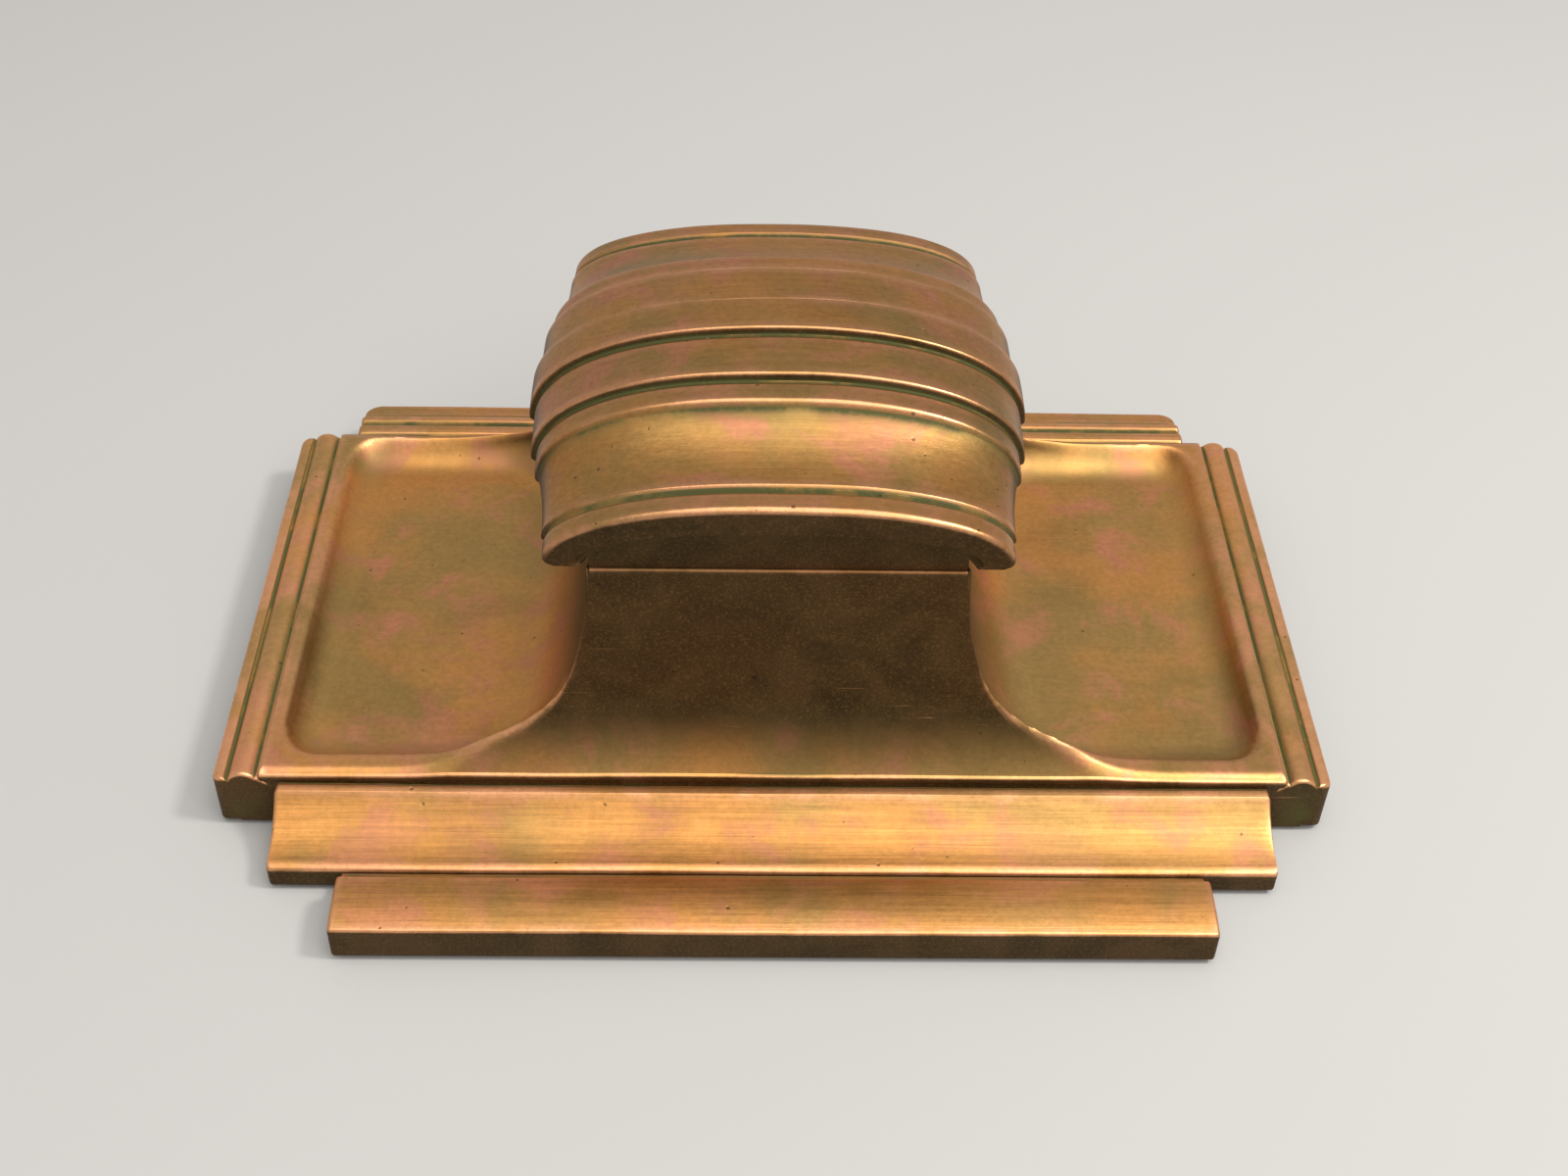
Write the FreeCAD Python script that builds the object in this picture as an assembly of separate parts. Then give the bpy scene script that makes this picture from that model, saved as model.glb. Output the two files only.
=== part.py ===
import FreeCAD, Part
import math
import os

# Cast bronze desk inkwell: a stepped base with two dished side trays, a flared
# pedestal holding a drop-in glass pot, and a hinged lid built up of arched ridges.
# Millimetres.  X runs along the width, the front faces -Y, Z is up.
# Shapes are drawn about the middle of the pedestal, and each part is then moved by
# ORIGIN_Y, which puts the origin at the centre of the footprint, on the surface it
# stands on.  Everything is mirror symmetric about X = 0.  The front has a coved step
# and a bar in front of the tray block, the back has one ribbed ledge.

V = FreeCAD.Vector

# ---- driving dimensions -------------------------------------------------------
BLOCK_HALF_W = 80.0        # tray block, half width
BLOCK_HALF_D = 39.2        # tray block, half depth
RIM_H = 10.4               # height of the tray block's rim
CAST_BOTTOM = 0.8          # lower edge of the casting, felt stands below it

STEP_HALF_W = 70.8         # coved step in front of and behind the block
STEP_TOP = 8.9
STEP_LIP_Y = 51.2
STEP_LIP_H = 4.5

BAR_HALF_W = 60.3          # rounded outer bar
BAR_Y = 63.4
BAR_H = 6.9
BAR_GROOVE_H = 3.9

LEDGE_HALF_W = 71.0        # ribbed ledge behind the block
LEDGE_Y = 51.2
LEDGE_H = 7.6              # its outer strip
LEDGE_CORNER = 3.0
ORIGIN_Y = 0.5 * (BAR_Y - LEDGE_Y)

FLOOR_H = 7.0              # tray floor
POCKET_X_IN = 26.6         # plan outline of each tray
POCKET_X_OUT = 70.6
POCKET_HALF_D = 38.1
POCKET_R_IN = 11.0
POCKET_R_OUT = 4.0
POCKET_FILLET = 3.3

PED_HALF_W = 25.3          # top of the pedestal
PED_HALF_D = 32.3
DECK_H = 44.0
PED_WALL = 3.0
COVE_END_DEG = 38.0        # slope of the pedestal's foot, from upright
SEAT_DEPTH = 2.2           # counterbore for the glass flange
SEAT_R = 21.2
WELL_HOLE_R = 18.9

LID_GAP = 0.2              # air line between deck and lid skirt
LID_SIDE_Z = 46.3          # underside of the arches outside the skirt
# arched slabs: half width, crown height
CROWN = (35.5, 63.3)
RIDGE_B = (34.7, 62.4)
RIDGE_C = (33.7, 61.3)
COVE_MID = (32.3, 58.2)
COVE_END = (31.7, 56.5)
LIP = (31.3, 56.2)
# half distances at which the slabs end, from the middle outwards
Y_CROWN = 3.5
Y_BAND = 12.8
Y_ROLL = 17.2
Y_COVE_MID = 23.6
Y_ROOT = 29.8
Y_GROOVE_W = 1.2
Y_LIP = 34.4
GROOVE_D = 0.6
LIP_T = 4.2                # thickness of the lip arch
LID_WALL = 3.0

HINGE_Y = 34.4             # hinge axis
HINGE_Z = 44.1
KNUCKLE_R = 1.9
PIN_R = 0.75
PIN_CLEAR = 0.05
LEAF_T = 0.8
LEAF_HALF_W = 15.0
LEAF_NEAR = 2.2            # leaf edges, measured from the axis
LEAF_FAR = 6.4
HINGE_SCREW_X = 11.0

GLASS_FLANGE_R = 20.9
GLASS_FLANGE_T = 2.0
GLASS_BODY_R = 18.2
GLASS_WALL = 2.4
GLASS_BOTTOM = 12.0

BOARD_BOTTOM = 1.2
BOARD_TOP = 2.8
BOARD_CLEAR = 0.3
BOSS_X = 60.0
BOSS_Y = 27.0


# ---- small helpers ------------------------------------------------------------
def box(x0, x1, y0, y1, z0, z1):
    return Part.makeBox(x1 - x0, y1 - y0, z1 - z0, V(x0, y0, z0))


def line(a, b):
    return Part.LineSegment(a, b).toShape()


def arc(a, m, b):
    return Part.Arc(a, m, b).toShape()


def prism(edges, direction):
    return Part.Face(Part.Wire(edges)).extrude(direction)


def mirrored_y(shape):
    return shape.mirror(V(0, 0, 0), V(0, 1, 0))


def mirrored_x(shape):
    return shape.mirror(V(0, 0, 0), V(1, 0, 0))


def fuse_all(shapes):
    out = shapes[0].fuse(shapes[1:])
    return out.removeSplitter()


def save(shape, name):
    if not shape.isValid():
        shape.fix(1e-4, 1e-4, 1e-3)
    shape.translate(V(0, ORIGIN_Y, 0))
    shape.exportStep("parts/%s.step" % name)
    bb = shape.BoundBox
    print("%-18s solids %d valid %s vol %.1f  x %.2f..%.2f y %.2f..%.2f z %.2f..%.2f" % (
        name, len(shape.Solids), shape.isValid(), shape.Volume,
        bb.XMin, bb.XMax, bb.YMin, bb.YMax, bb.ZMin, bb.ZMax))


def arch_wire(y, half_w, crown, foot):
    """Three-centred arch standing on the plane z = foot, in the plane of that y.
    The shoulder arcs are upright at the foot; the crown arc is tangent to both."""
    b = crown - foot
    r = 0.765 * b
    c = half_w - r
    # crown radius from tangency with the shoulder circle centred on the foot plane
    big = (c * c + b * b - r * r) / (2.0 * (b - r))
    k = c / (big - r)
    tx = k * big
    tz = foot + b - big + big * math.sqrt(1.0 - k * k)
    a_mid = 0.5 * math.acos(k)
    sx = c + r * math.cos(a_mid)
    sz = foot + r * math.sin(a_mid)
    left = V(-half_w, y, foot)
    right = V(half_w, y, foot)
    edges = [
        arc(left, V(-sx, y, sz), V(-tx, y, tz)),
        arc(V(-tx, y, tz), V(0, y, crown), V(tx, y, tz)),
        arc(V(tx, y, tz), V(sx, y, sz), right),
        line(right, left),
    ]
    return Part.Wire(edges)


def slab(y0, y1, size, foot, inset=0.0):
    wire = arch_wire(y0, size[0] - inset, size[1] - inset, foot)
    return Part.Face(wire).extrude(V(0, y1 - y0, 0))


# ---- base casting -------------------------------------------------------------
def tangent_cove():
    """Front face of the pedestal from the deck down to the rim: a long flat arc that
    is upright at the top, then a tighter tangent arc that sweeps out to the edge."""
    big = 150.0
    drop = 22.0
    a1 = math.asin(drop / big)
    y1 = PED_HALF_D + big * (1.0 - math.cos(a1))
    z1 = DECK_H - drop
    a2 = math.radians(COVE_END_DEG)
    small = (z1 - RIM_H) / (math.sin(a2) - math.sin(a1))
    y2 = y1 + small * (math.cos(a1) - math.cos(a2))
    am = 0.5 * a1
    bm = 0.5 * (a1 + a2)
    upper = arc(
        V(0, -PED_HALF_D, DECK_H),
        V(0, -PED_HALF_D - big * (1.0 - math.cos(am)), DECK_H - big * math.sin(am)),
        V(0, -y1, z1))
    lower = arc(
        V(0, -y1, z1),
        V(0, -y1 - small * (math.cos(a1) - math.cos(bm)),
          z1 - small * (math.sin(bm) - math.sin(a1))),
        V(0, -y2, RIM_H))
    return upper, lower, y2


def centre_body():
    """Pedestal and block in one section, run the full width between the side mouldings."""
    upper, lower, y2 = tangent_cove()
    top = line(V(0, 0, DECK_H), V(0, -PED_HALF_D, DECK_H))
    rim = line(V(0, -y2, RIM_H), V(0, -BLOCK_HALF_D, RIM_H))
    face = line(V(0, -BLOCK_HALF_D, RIM_H), V(0, -BLOCK_HALF_D, CAST_BOTTOM))
    under = line(V(0, -BLOCK_HALF_D, CAST_BOTTOM), V(0, 0, CAST_BOTTOM))
    close = line(V(0, 0, CAST_BOTTOM), V(0, 0, DECK_H))
    edges = [top, upper, lower, rim, face, under, close]
    half = prism(edges, V(2 * 72.0, 0, 0))
    half.translate(V(-72.0, 0, 0))
    return half.fuse(mirrored_y(half)).removeSplitter()


def side_moulding():
    """Outer strip, thin groove, bead and groove, seen in the X-Z section."""
    d = BLOCK_HALF_D
    pts = [
        (72.0, CAST_BOTTOM), (BLOCK_HALF_W, CAST_BOTTOM), (BLOCK_HALF_W, 8.9), (79.5, 9.4),
        (77.9, 9.5), (77.6, 8.9), (77.0, 8.9),
    ]
    edges = []
    for a, b in zip(pts[:-1], pts[1:]):
        edges.append(line(V(a[0], -d, a[1]), V(b[0], -d, b[1])))
    edges.append(arc(V(77.0, -d, 8.9), V(74.8, -d, 10.6), V(72.6, -d, 9.0)))
    edges.append(line(V(72.6, -d, 9.0), V(72.0, -d, 9.0)))
    edges.append(line(V(72.0, -d, 9.0), V(72.0, -d, CAST_BOTTOM)))
    return prism(edges, V(0, 2 * d, 0))


def front_steps():
    """Coved step and rounded bar in front of the block, as Y-Z sections."""
    d = BLOCK_HALF_D
    step = [
        line(V(0, -d + 1.0, CAST_BOTTOM), V(0, -d + 1.0, STEP_TOP)),
        line(V(0, -d + 1.0, STEP_TOP), V(0, -d - 1.2, STEP_TOP)),
        arc(V(0, -d - 1.2, STEP_TOP), V(0, -d - 4.2, 5.9), V(0, -STEP_LIP_Y + 1.2, STEP_LIP_H)),
        arc(V(0, -STEP_LIP_Y + 1.2, STEP_LIP_H), V(0, -STEP_LIP_Y + 0.3, STEP_LIP_H - 0.3),
            V(0, -STEP_LIP_Y, STEP_LIP_H - 1.1)),
        line(V(0, -STEP_LIP_Y, STEP_LIP_H - 1.1), V(0, -STEP_LIP_Y, CAST_BOTTOM)),
        line(V(0, -STEP_LIP_Y, CAST_BOTTOM), V(0, -d + 1.0, CAST_BOTTOM)),
    ]
    s = prism(step, V(2 * STEP_HALF_W, 0, 0))
    s.translate(V(-STEP_HALF_W, 0, 0))
    bar = [
        line(V(0, -STEP_LIP_Y + 1.0, CAST_BOTTOM), V(0, -STEP_LIP_Y + 1.0, BAR_GROOVE_H)),
        line(V(0, -STEP_LIP_Y + 1.0, BAR_GROOVE_H), V(0, -STEP_LIP_Y - 1.0, BAR_GROOVE_H)),
        arc(V(0, -STEP_LIP_Y - 1.0, BAR_GROOVE_H), V(0, -56.2, 6.6), V(0, -BAR_Y + 1.0, BAR_H)),
        arc(V(0, -BAR_Y + 1.0, BAR_H), V(0, -BAR_Y + 0.3, BAR_H - 0.3), V(0, -BAR_Y, BAR_H - 1.0)),
        line(V(0, -BAR_Y, BAR_H - 1.0), V(0, -BAR_Y, CAST_BOTTOM)),
        line(V(0, -BAR_Y, CAST_BOTTOM), V(0, -STEP_LIP_Y + 1.0, CAST_BOTTOM)),
    ]
    b = prism(bar, V(2 * BAR_HALF_W, 0, 0))
    b.translate(V(-BAR_HALF_W, 0, 0))
    return s.fuse(b)


def rear_ledge():
    """Ribbed ledge behind the block: groove, two ribs and an outer strip, as a Y-Z
    section carried along the width, with rounded upright corners."""
    d = BLOCK_HALF_D
    pts = [
        (d - 1.0, CAST_BOTTOM), (d - 1.0, 8.6), (d + 1.5, 8.6), (d + 2.3, 9.2), (d + 3.9, 9.2),
        (d + 4.5, 8.5), (d + 5.3, 8.5), (d + 5.9, 8.8), (d + 7.1, 8.7), (d + 7.8, 8.0),
        (d + 8.6, 7.9), (LEDGE_Y - 0.6, LEDGE_H), (LEDGE_Y, LEDGE_H - 0.6), (LEDGE_Y, CAST_BOTTOM),
    ]
    edges = []
    for a, b in zip(pts, pts[1:] + pts[:1]):
        edges.append(line(V(0, a[0], a[1]), V(0, b[0], b[1])))
    ledge = prism(edges, V(2 * LEDGE_HALF_W, 0, 0))
    ledge.translate(V(-LEDGE_HALF_W, 0, 0))
    plan = box(-LEDGE_HALF_W, LEDGE_HALF_W, d - 2.0, LEDGE_Y, 0.0, 12.0)
    corners = []
    for e in plan.Edges:
        bb = e.BoundBox
        if bb.ZLength > 5 and abs(bb.YMax - LEDGE_Y) < 1e-6:
            corners.append(e)
    return ledge.common(plan.makeFillet(LEDGE_CORNER, corners))


def rounded_outline(x0, x1, hd, r_in, r_out, z):
    """Plan of a tray: large corners beside the pedestal (x0), small ones outside (x1)."""
    q = math.sqrt(0.5)
    e = []
    e.append(line(V(x0 + r_in, -hd, z), V(x1 - r_out, -hd, z)))
    e.append(arc(V(x1 - r_out, -hd, z), V(x1 - r_out + q * r_out, -hd + r_out - q * r_out, z),
                 V(x1, -hd + r_out, z)))
    e.append(line(V(x1, -hd + r_out, z), V(x1, hd - r_out, z)))
    e.append(arc(V(x1, hd - r_out, z), V(x1 - r_out + q * r_out, hd - r_out + q * r_out, z),
                 V(x1 - r_out, hd, z)))
    e.append(line(V(x1 - r_out, hd, z), V(x0 + r_in, hd, z)))
    e.append(arc(V(x0 + r_in, hd, z), V(x0 + r_in - q * r_in, hd - r_in + q * r_in, z),
                 V(x0, hd - r_in, z)))
    e.append(line(V(x0, hd - r_in, z), V(x0, -hd + r_in, z)))
    e.append(arc(V(x0, -hd + r_in, z), V(x0 + r_in - q * r_in, -hd + r_in - q * r_in, z),
                 V(x0 + r_in, -hd, z)))
    return e


def tray_cutter():
    outline = rounded_outline(POCKET_X_IN, POCKET_X_OUT, POCKET_HALF_D,
                              POCKET_R_IN, POCKET_R_OUT, FLOOR_H)
    body = prism(outline, V(0, 0, 60.0))
    low = []
    for e in body.Edges:
        if e.BoundBox.ZMax < FLOOR_H + 1e-6:
            low.append(e)
    return body.makeFillet(POCKET_FILLET, low)


def stepped_plate(inset, z0, z1):
    """Plate with the stepped outline of the base, set in from its edge."""
    a = box(-BLOCK_HALF_W + inset, BLOCK_HALF_W - inset,
            -BLOCK_HALF_D + inset, BLOCK_HALF_D - inset, z0, z1)
    b = box(-STEP_HALF_W + inset, STEP_HALF_W - inset,
            -STEP_LIP_Y + inset, LEDGE_Y - inset, z0, z1)
    c = box(-BAR_HALF_W + inset, BAR_HALF_W - inset, -BAR_Y + inset, 0.0, z0, z1)
    return fuse_all([a, b, c])


def boss_spots():
    return [(sx * BOSS_X, sy * BOSS_Y) for sx in (-1, 1) for sy in (-1, 1)]


def base_casting():
    body = centre_body()
    side = side_moulding()
    steps = front_steps()
    trim = box(70.0, 74.0, -60.0, 60.0, RIM_H, 60.0)
    body = body.cut(trim).cut(mirrored_x(trim))
    body = fuse_all([body, side, mirrored_x(side), steps, rear_ledge()])
    # rounded upright corners of the outer strip
    corners = []
    for e in body.Edges:
        bb = e.BoundBox
        upright = bb.ZLength > 5 and bb.XLength < 1e-6 and bb.YLength < 1e-6
        if upright and abs(abs(bb.XMin) - BLOCK_HALF_W) < 1e-6:
            corners.append(e)
    body = body.makeFillet(1.6, corners)
    tray = tray_cutter()
    body = body.cut(tray).cut(mirrored_x(tray))
    # nothing stands above the rim beyond the ends of the pedestal's foot
    for sx in (-1, 1):
        x0, x1 = sorted((sx * 63.0, sx * 74.0))
        body = body.cut(box(x0, x1, -BLOCK_HALF_D - 1, BLOCK_HALF_D + 1, RIM_H + 0.2, 60.0))
    # recess for the board, hollow underside and hollow pedestal
    body = body.cut(stepped_plate(3.0, CAST_BOTTOM - 1.0, BOARD_TOP))
    inner = box(-68.0, 68.0, -34.0, 34.0, 0.0, FLOOR_H - 3.0)
    body = body.cut(inner)
    shaft = box(-PED_HALF_W + PED_WALL, PED_HALF_W - PED_WALL,
                -PED_HALF_D + PED_WALL, PED_HALF_D - PED_WALL, 0.0, DECK_H - 4.4)
    shaft = shaft.makeFillet(3.0, [e for e in shaft.Edges if e.BoundBox.ZLength > 20])
    body = body.cut(shaft)
    # screw bosses under the trays
    for x, y in boss_spots():
        body = body.fuse(Part.makeCylinder(4.0, FLOOR_H - 2.0 - BOARD_TOP, V(x, y, BOARD_TOP)))
        body = body.cut(Part.makeCylinder(1.0, 2.4, V(x, y, BOARD_TOP - 0.1)))
    # well hole with its seat
    body = body.cut(Part.makeCylinder(WELL_HOLE_R, 10.0, V(0, 0, DECK_H - 8.0)))
    body = body.cut(Part.makeCylinder(SEAT_R, SEAT_DEPTH + 1.0, V(0, 0, DECK_H - SEAT_DEPTH)))
    # flat let into the back of the pedestal for the hinge leaf, and its pilot holes
    flat = box(-LEAF_HALF_W - 0.2, LEAF_HALF_W + 0.2, PED_HALF_D, PED_HALF_D + 3.0,
               HINGE_Z - LEAF_FAR - 0.2, DECK_H + 1.0)
    body = body.cut(flat)
    for sx in (-1, 1):
        body = body.cut(Part.makeCylinder(
            1.0, 2.6, V(sx * HINGE_SCREW_X, PED_HALF_D - 2.6, HINGE_Z - 4.3), V(0, 1, 0)))
    return body.removeSplitter()


# ---- lid casting --------------------------------------------------------------
def lid_half():
    """Back half of the arched cover, slab by slab, from the crown out to the lip."""
    f = LID_SIDE_Z
    g = Y_GROOVE_W
    parts = [
        slab(0.0, Y_CROWN, CROWN, f),
        slab(Y_CROWN, Y_CROWN + g, RIDGE_B, f, GROOVE_D),
        slab(Y_CROWN + g, Y_BAND, RIDGE_B, f),
        slab(Y_BAND, Y_BAND + g, RIDGE_C, f, GROOVE_D),
        slab(Y_BAND + g, Y_ROLL, RIDGE_C, f),
    ]
    cove = Part.makeLoft([
        arch_wire(Y_ROLL, RIDGE_C[0], RIDGE_C[1], f),
        arch_wire(0.5 * (Y_ROLL + Y_COVE_MID), 32.8, 59.4, f),
        arch_wire(Y_COVE_MID, COVE_MID[0], COVE_MID[1], f),
        arch_wire(Y_ROOT, COVE_END[0], COVE_END[1], f),
    ], True, False)
    parts.append(cove)
    parts.append(slab(Y_ROOT, Y_ROOT + g, LIP, f, 0.5))
    parts.append(slab(Y_ROOT + g, Y_LIP, LIP, f))
    return parts


def lid_casting():
    half = lid_half()
    back = half[0].fuse(half[1:])
    whole = back.fuse(mirrored_y(back)).removeSplitter()
    # soften the worn lip edges
    lip_edges = []
    for e in whole.Edges:
        bb = e.BoundBox
        at_lip = abs(abs(bb.YMin) - Y_LIP) < 1e-6 and bb.YLength < 1e-6
        if at_lip and bb.ZMax > LID_SIDE_Z + 1.0:
            lip_edges.append(e)
    try:
        whole = whole.makeFillet(0.7, lip_edges)
    except Exception:
        print("lip edges left sharp")
    # the lip is an arch in front of and behind the skirt, open below
    under = arch_wire(PED_HALF_D, 27.2, LIP[1] - LIP_T, LID_SIDE_Z - 1.0)
    gap = Part.Face(under).extrude(V(0, 6.0, 0))
    whole = whole.cut(gap).cut(mirrored_y(gap))
    skirt = box(-PED_HALF_W, PED_HALF_W, -PED_HALF_D, PED_HALF_D, DECK_H + LID_GAP, 52.0)
    whole = whole.fuse(skirt)
    # hollow: a straight-sided chamber with an arched roof
    cx = PED_HALF_W - LID_WALL
    low = box(-cx, cx, -PED_HALF_D + LID_WALL, PED_HALF_D - LID_WALL, 40.0, 52.4)
    roof = arch_wire(-17.0, cx, 58.8, 51.0)
    high = Part.Face(roof).extrude(V(0, 34.0, 0))
    whole = whole.cut(low).cut(high)
    for sx in (-1, 1):
        whole = whole.cut(Part.makeCylinder(
            1.0, 2.6, V(sx * HINGE_SCREW_X, PED_HALF_D - 2.6, HINGE_Z + 4.3), V(0, 1, 0)))
    return whole.removeSplitter()


# ---- hinge --------------------------------------------------------------------
def knuckle(x0, x1):
    return Part.makeCylinder(KNUCKLE_R, x1 - x0, V(x0, HINGE_Y, HINGE_Z), V(1, 0, 0))


def hinge_leaf(side, spans):
    """side is 1 for the lid leaf (above the axis) and -1 for the base leaf."""
    z0 = HINGE_Z + side * LEAF_NEAR
    z1 = HINGE_Z + side * LEAF_FAR
    y0 = PED_HALF_D
    leaf = box(-LEAF_HALF_W, LEAF_HALF_W, y0, y0 + LEAF_T, min(z0, z1), max(z0, z1))
    upright = [e for e in leaf.Edges
               if e.BoundBox.YLength > 0.5 and abs(e.BoundBox.ZMin - z1) < 1e-6]
    leaf = leaf.makeFillet(1.0, upright)
    for a, b in spans:
        tab = box(a, b, y0 + 0.15, y0 + 0.95, min(HINGE_Z, z0 + side), max(HINGE_Z, z0 + side))
        leaf = leaf.fuse(tab).fuse(knuckle(a, b))
    leaf = leaf.cut(Part.makeCylinder(
        PIN_R + PIN_CLEAR, 40.0, V(-20, HINGE_Y, HINGE_Z), V(1, 0, 0)))
    for sx in (-1, 1):
        zc = HINGE_Z + side * 4.3
        cone = Part.makeCone(1.0, 1.8, LEAF_T, V(sx * HINGE_SCREW_X, y0, zc), V(0, 1, 0))
        leaf = leaf.cut(cone)
    return leaf.removeSplitter()


def hinge_screws(side):
    """Two countersunk screws with slotted heads, flush with the leaf."""
    out = []
    for sx in (-1, 1):
        x = sx * HINGE_SCREW_X
        zc = HINGE_Z + side * 4.3
        head = Part.makeCone(1.0, 1.8, LEAF_T, V(x, PED_HALF_D, zc), V(0, 1, 0))
        shank = Part.makeCylinder(1.0, 2.4, V(x, PED_HALF_D - 2.4, zc), V(0, 1, 0))
        slot = box(x - 2.0, x + 2.0, PED_HALF_D + LEAF_T - 0.3, PED_HALF_D + LEAF_T + 1.0,
                   zc - 0.2, zc + 0.2)
        out.append(head.fuse(shank).cut(slot).removeSplitter())
    return Part.makeCompound(out)


def hinge_pin():
    rod = Part.makeCylinder(PIN_R, 31.0, V(-15.5, HINGE_Y, HINGE_Z), V(1, 0, 0))
    ends = [e for e in rod.Edges if e.BoundBox.XLength < 1e-6]
    return rod.makeFillet(0.3, ends)


# ---- glass pot ----------------------------------------------------------------
def glass_well():
    """Moulded pot turned about Z: flange with a rounded edge, straight wall, dished floor."""
    zt = DECK_H - SEAT_DEPTH + GLASS_FLANGE_T
    zf = DECK_H - SEAT_DEPTH
    ro = GLASS_BODY_R
    ri = GLASS_BODY_R - GLASS_WALL
    zb = GLASS_BOTTOM
    p = V
    q = math.sqrt(0.5)
    edges = [
        line(p(0, 0, zb), p(ro - 3.5, 0, zb)),
        arc(p(ro - 3.5, 0, zb), p(ro - 3.5 + 3.5 * q, 0, zb + 3.5 - 3.5 * q), p(ro, 0, zb + 3.5)),
        line(p(ro, 0, zb + 3.5), p(ro, 0, zf)),
        line(p(ro, 0, zf), p(GLASS_FLANGE_R - 0.4, 0, zf)),
        line(p(GLASS_FLANGE_R - 0.4, 0, zf), p(GLASS_FLANGE_R, 0, zf + 0.4)),
        line(p(GLASS_FLANGE_R, 0, zf + 0.4), p(GLASS_FLANGE_R, 0, zt - 0.7)),
        arc(p(GLASS_FLANGE_R, 0, zt - 0.7),
            p(GLASS_FLANGE_R - 0.7 + 0.7 * q, 0, zt - 0.7 + 0.7 * q),
            p(GLASS_FLANGE_R - 0.7, 0, zt)),
        line(p(GLASS_FLANGE_R - 0.7, 0, zt), p(ri + 1.2, 0, zt)),
        arc(p(ri + 1.2, 0, zt), p(ri + 1.2 - 1.2 * q, 0, zt - 1.2 + 1.2 * q), p(ri, 0, zt - 1.2)),
        line(p(ri, 0, zt - 1.2), p(ri - 0.6, 0, zb + 8.0)),
        arc(p(ri - 0.6, 0, zb + 8.0), p(ri - 3.2, 0, zb + 4.3), p(ri - 7.5, 0, zb + 3.0)),
        line(p(ri - 7.5, 0, zb + 3.0), p(0, 0, zb + 3.0)),
        line(p(0, 0, zb + 3.0), p(0, 0, zb)),
    ]
    face = Part.Face(Part.Wire(edges))
    return face.revolve(V(0, 0, 0), V(0, 0, 1), 360)


# ---- underside ----------------------------------------------------------------
def underside_board():
    board = stepped_plate(3.0 + BOARD_CLEAR, BOARD_BOTTOM, BOARD_TOP)
    for x, y in boss_spots():
        board = board.cut(Part.makeCone(2.2, 1.0, 1.3, V(x, y, BOARD_BOTTOM)))
        board = board.cut(Part.makeCylinder(1.0, 3.0, V(x, y, BOARD_BOTTOM)))
    return board


def board_screws():
    out = []
    for x, y in boss_spots():
        head = Part.makeCone(2.2, 1.0, 1.3, V(x, y, BOARD_BOTTOM))
        shank = Part.makeCylinder(1.0, 2.4, V(x, y, BOARD_BOTTOM + 1.2))
        out.append(head.fuse(shank).removeSplitter())
    return Part.makeCompound(out)


def felt_pad():
    return stepped_plate(3.6, 0.0, BOARD_BOTTOM)


# ---- write the parts ----------------------------------------------------------
os.makedirs("parts", exist_ok=True)
BASE_SPANS = [(-15.0, -9.1), (-2.9, 2.9), (9.1, 15.0)]
LID_SPANS = [(-8.9, -3.1), (3.1, 8.9)]
save(base_casting(), "base_casting")
save(lid_casting(), "lid_casting")
save(hinge_leaf(-1, BASE_SPANS), "hinge_leaf_base")
save(hinge_leaf(1, LID_SPANS), "hinge_leaf_lid")
save(hinge_pin(), "hinge_pin")
save(hinge_screws(-1), "hinge_screws_base")
save(hinge_screws(1), "hinge_screws_lid")
save(glass_well(), "glass_well")
save(underside_board(), "underside_board")
save(board_screws(), "board_screws")
save(felt_pad(), "felt_pad")
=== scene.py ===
import math
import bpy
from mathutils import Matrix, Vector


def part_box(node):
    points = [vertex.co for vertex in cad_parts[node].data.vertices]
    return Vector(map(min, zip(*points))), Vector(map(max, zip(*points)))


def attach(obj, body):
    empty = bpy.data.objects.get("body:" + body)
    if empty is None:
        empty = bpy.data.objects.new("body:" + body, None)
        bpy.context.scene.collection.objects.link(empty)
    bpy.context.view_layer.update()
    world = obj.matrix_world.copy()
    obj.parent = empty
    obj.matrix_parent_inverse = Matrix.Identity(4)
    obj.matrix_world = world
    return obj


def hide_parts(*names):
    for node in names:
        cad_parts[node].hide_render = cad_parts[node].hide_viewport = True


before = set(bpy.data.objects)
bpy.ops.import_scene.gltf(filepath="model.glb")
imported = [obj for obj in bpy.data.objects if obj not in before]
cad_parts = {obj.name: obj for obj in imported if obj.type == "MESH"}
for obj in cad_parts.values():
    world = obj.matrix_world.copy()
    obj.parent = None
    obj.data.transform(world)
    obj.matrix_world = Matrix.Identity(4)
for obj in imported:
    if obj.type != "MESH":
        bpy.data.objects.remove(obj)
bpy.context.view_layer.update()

from types import SimpleNamespace

import bpy
import numpy as np
from bpy.props import FloatProperty, FloatVectorProperty, PointerProperty
from mathutils import Matrix, Vector

bl_info = {
    "name": "Bronze inkwell",
    "version": (1, 0, 0),
    "blender": (4, 5, 0),
    "location": "3D View > Sidebar > Inkwell",
    "description": "Cast bronze desk inkwell: stepped base, arched lid, glass pot, hinge and felt",
    "category": "Add Mesh",
}

# Shapes are worked out in millimetres about the middle of the pedestal, and put into
# the mesh in metres, moved back by SHIFT.
MM = 0.001


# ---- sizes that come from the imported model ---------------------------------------
def corners_of(node):
    """Lowest and highest corner of a node at rest, in millimetres."""
    return (tuple(v / MM for v in corner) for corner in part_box(node))


BASE_LOW, BASE_HIGH = corners_of("base_casting")
LID_LOW, LID_HIGH = corners_of("lid_casting")
FELT_LOW, FELT_HIGH = corners_of("felt_pad")

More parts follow.
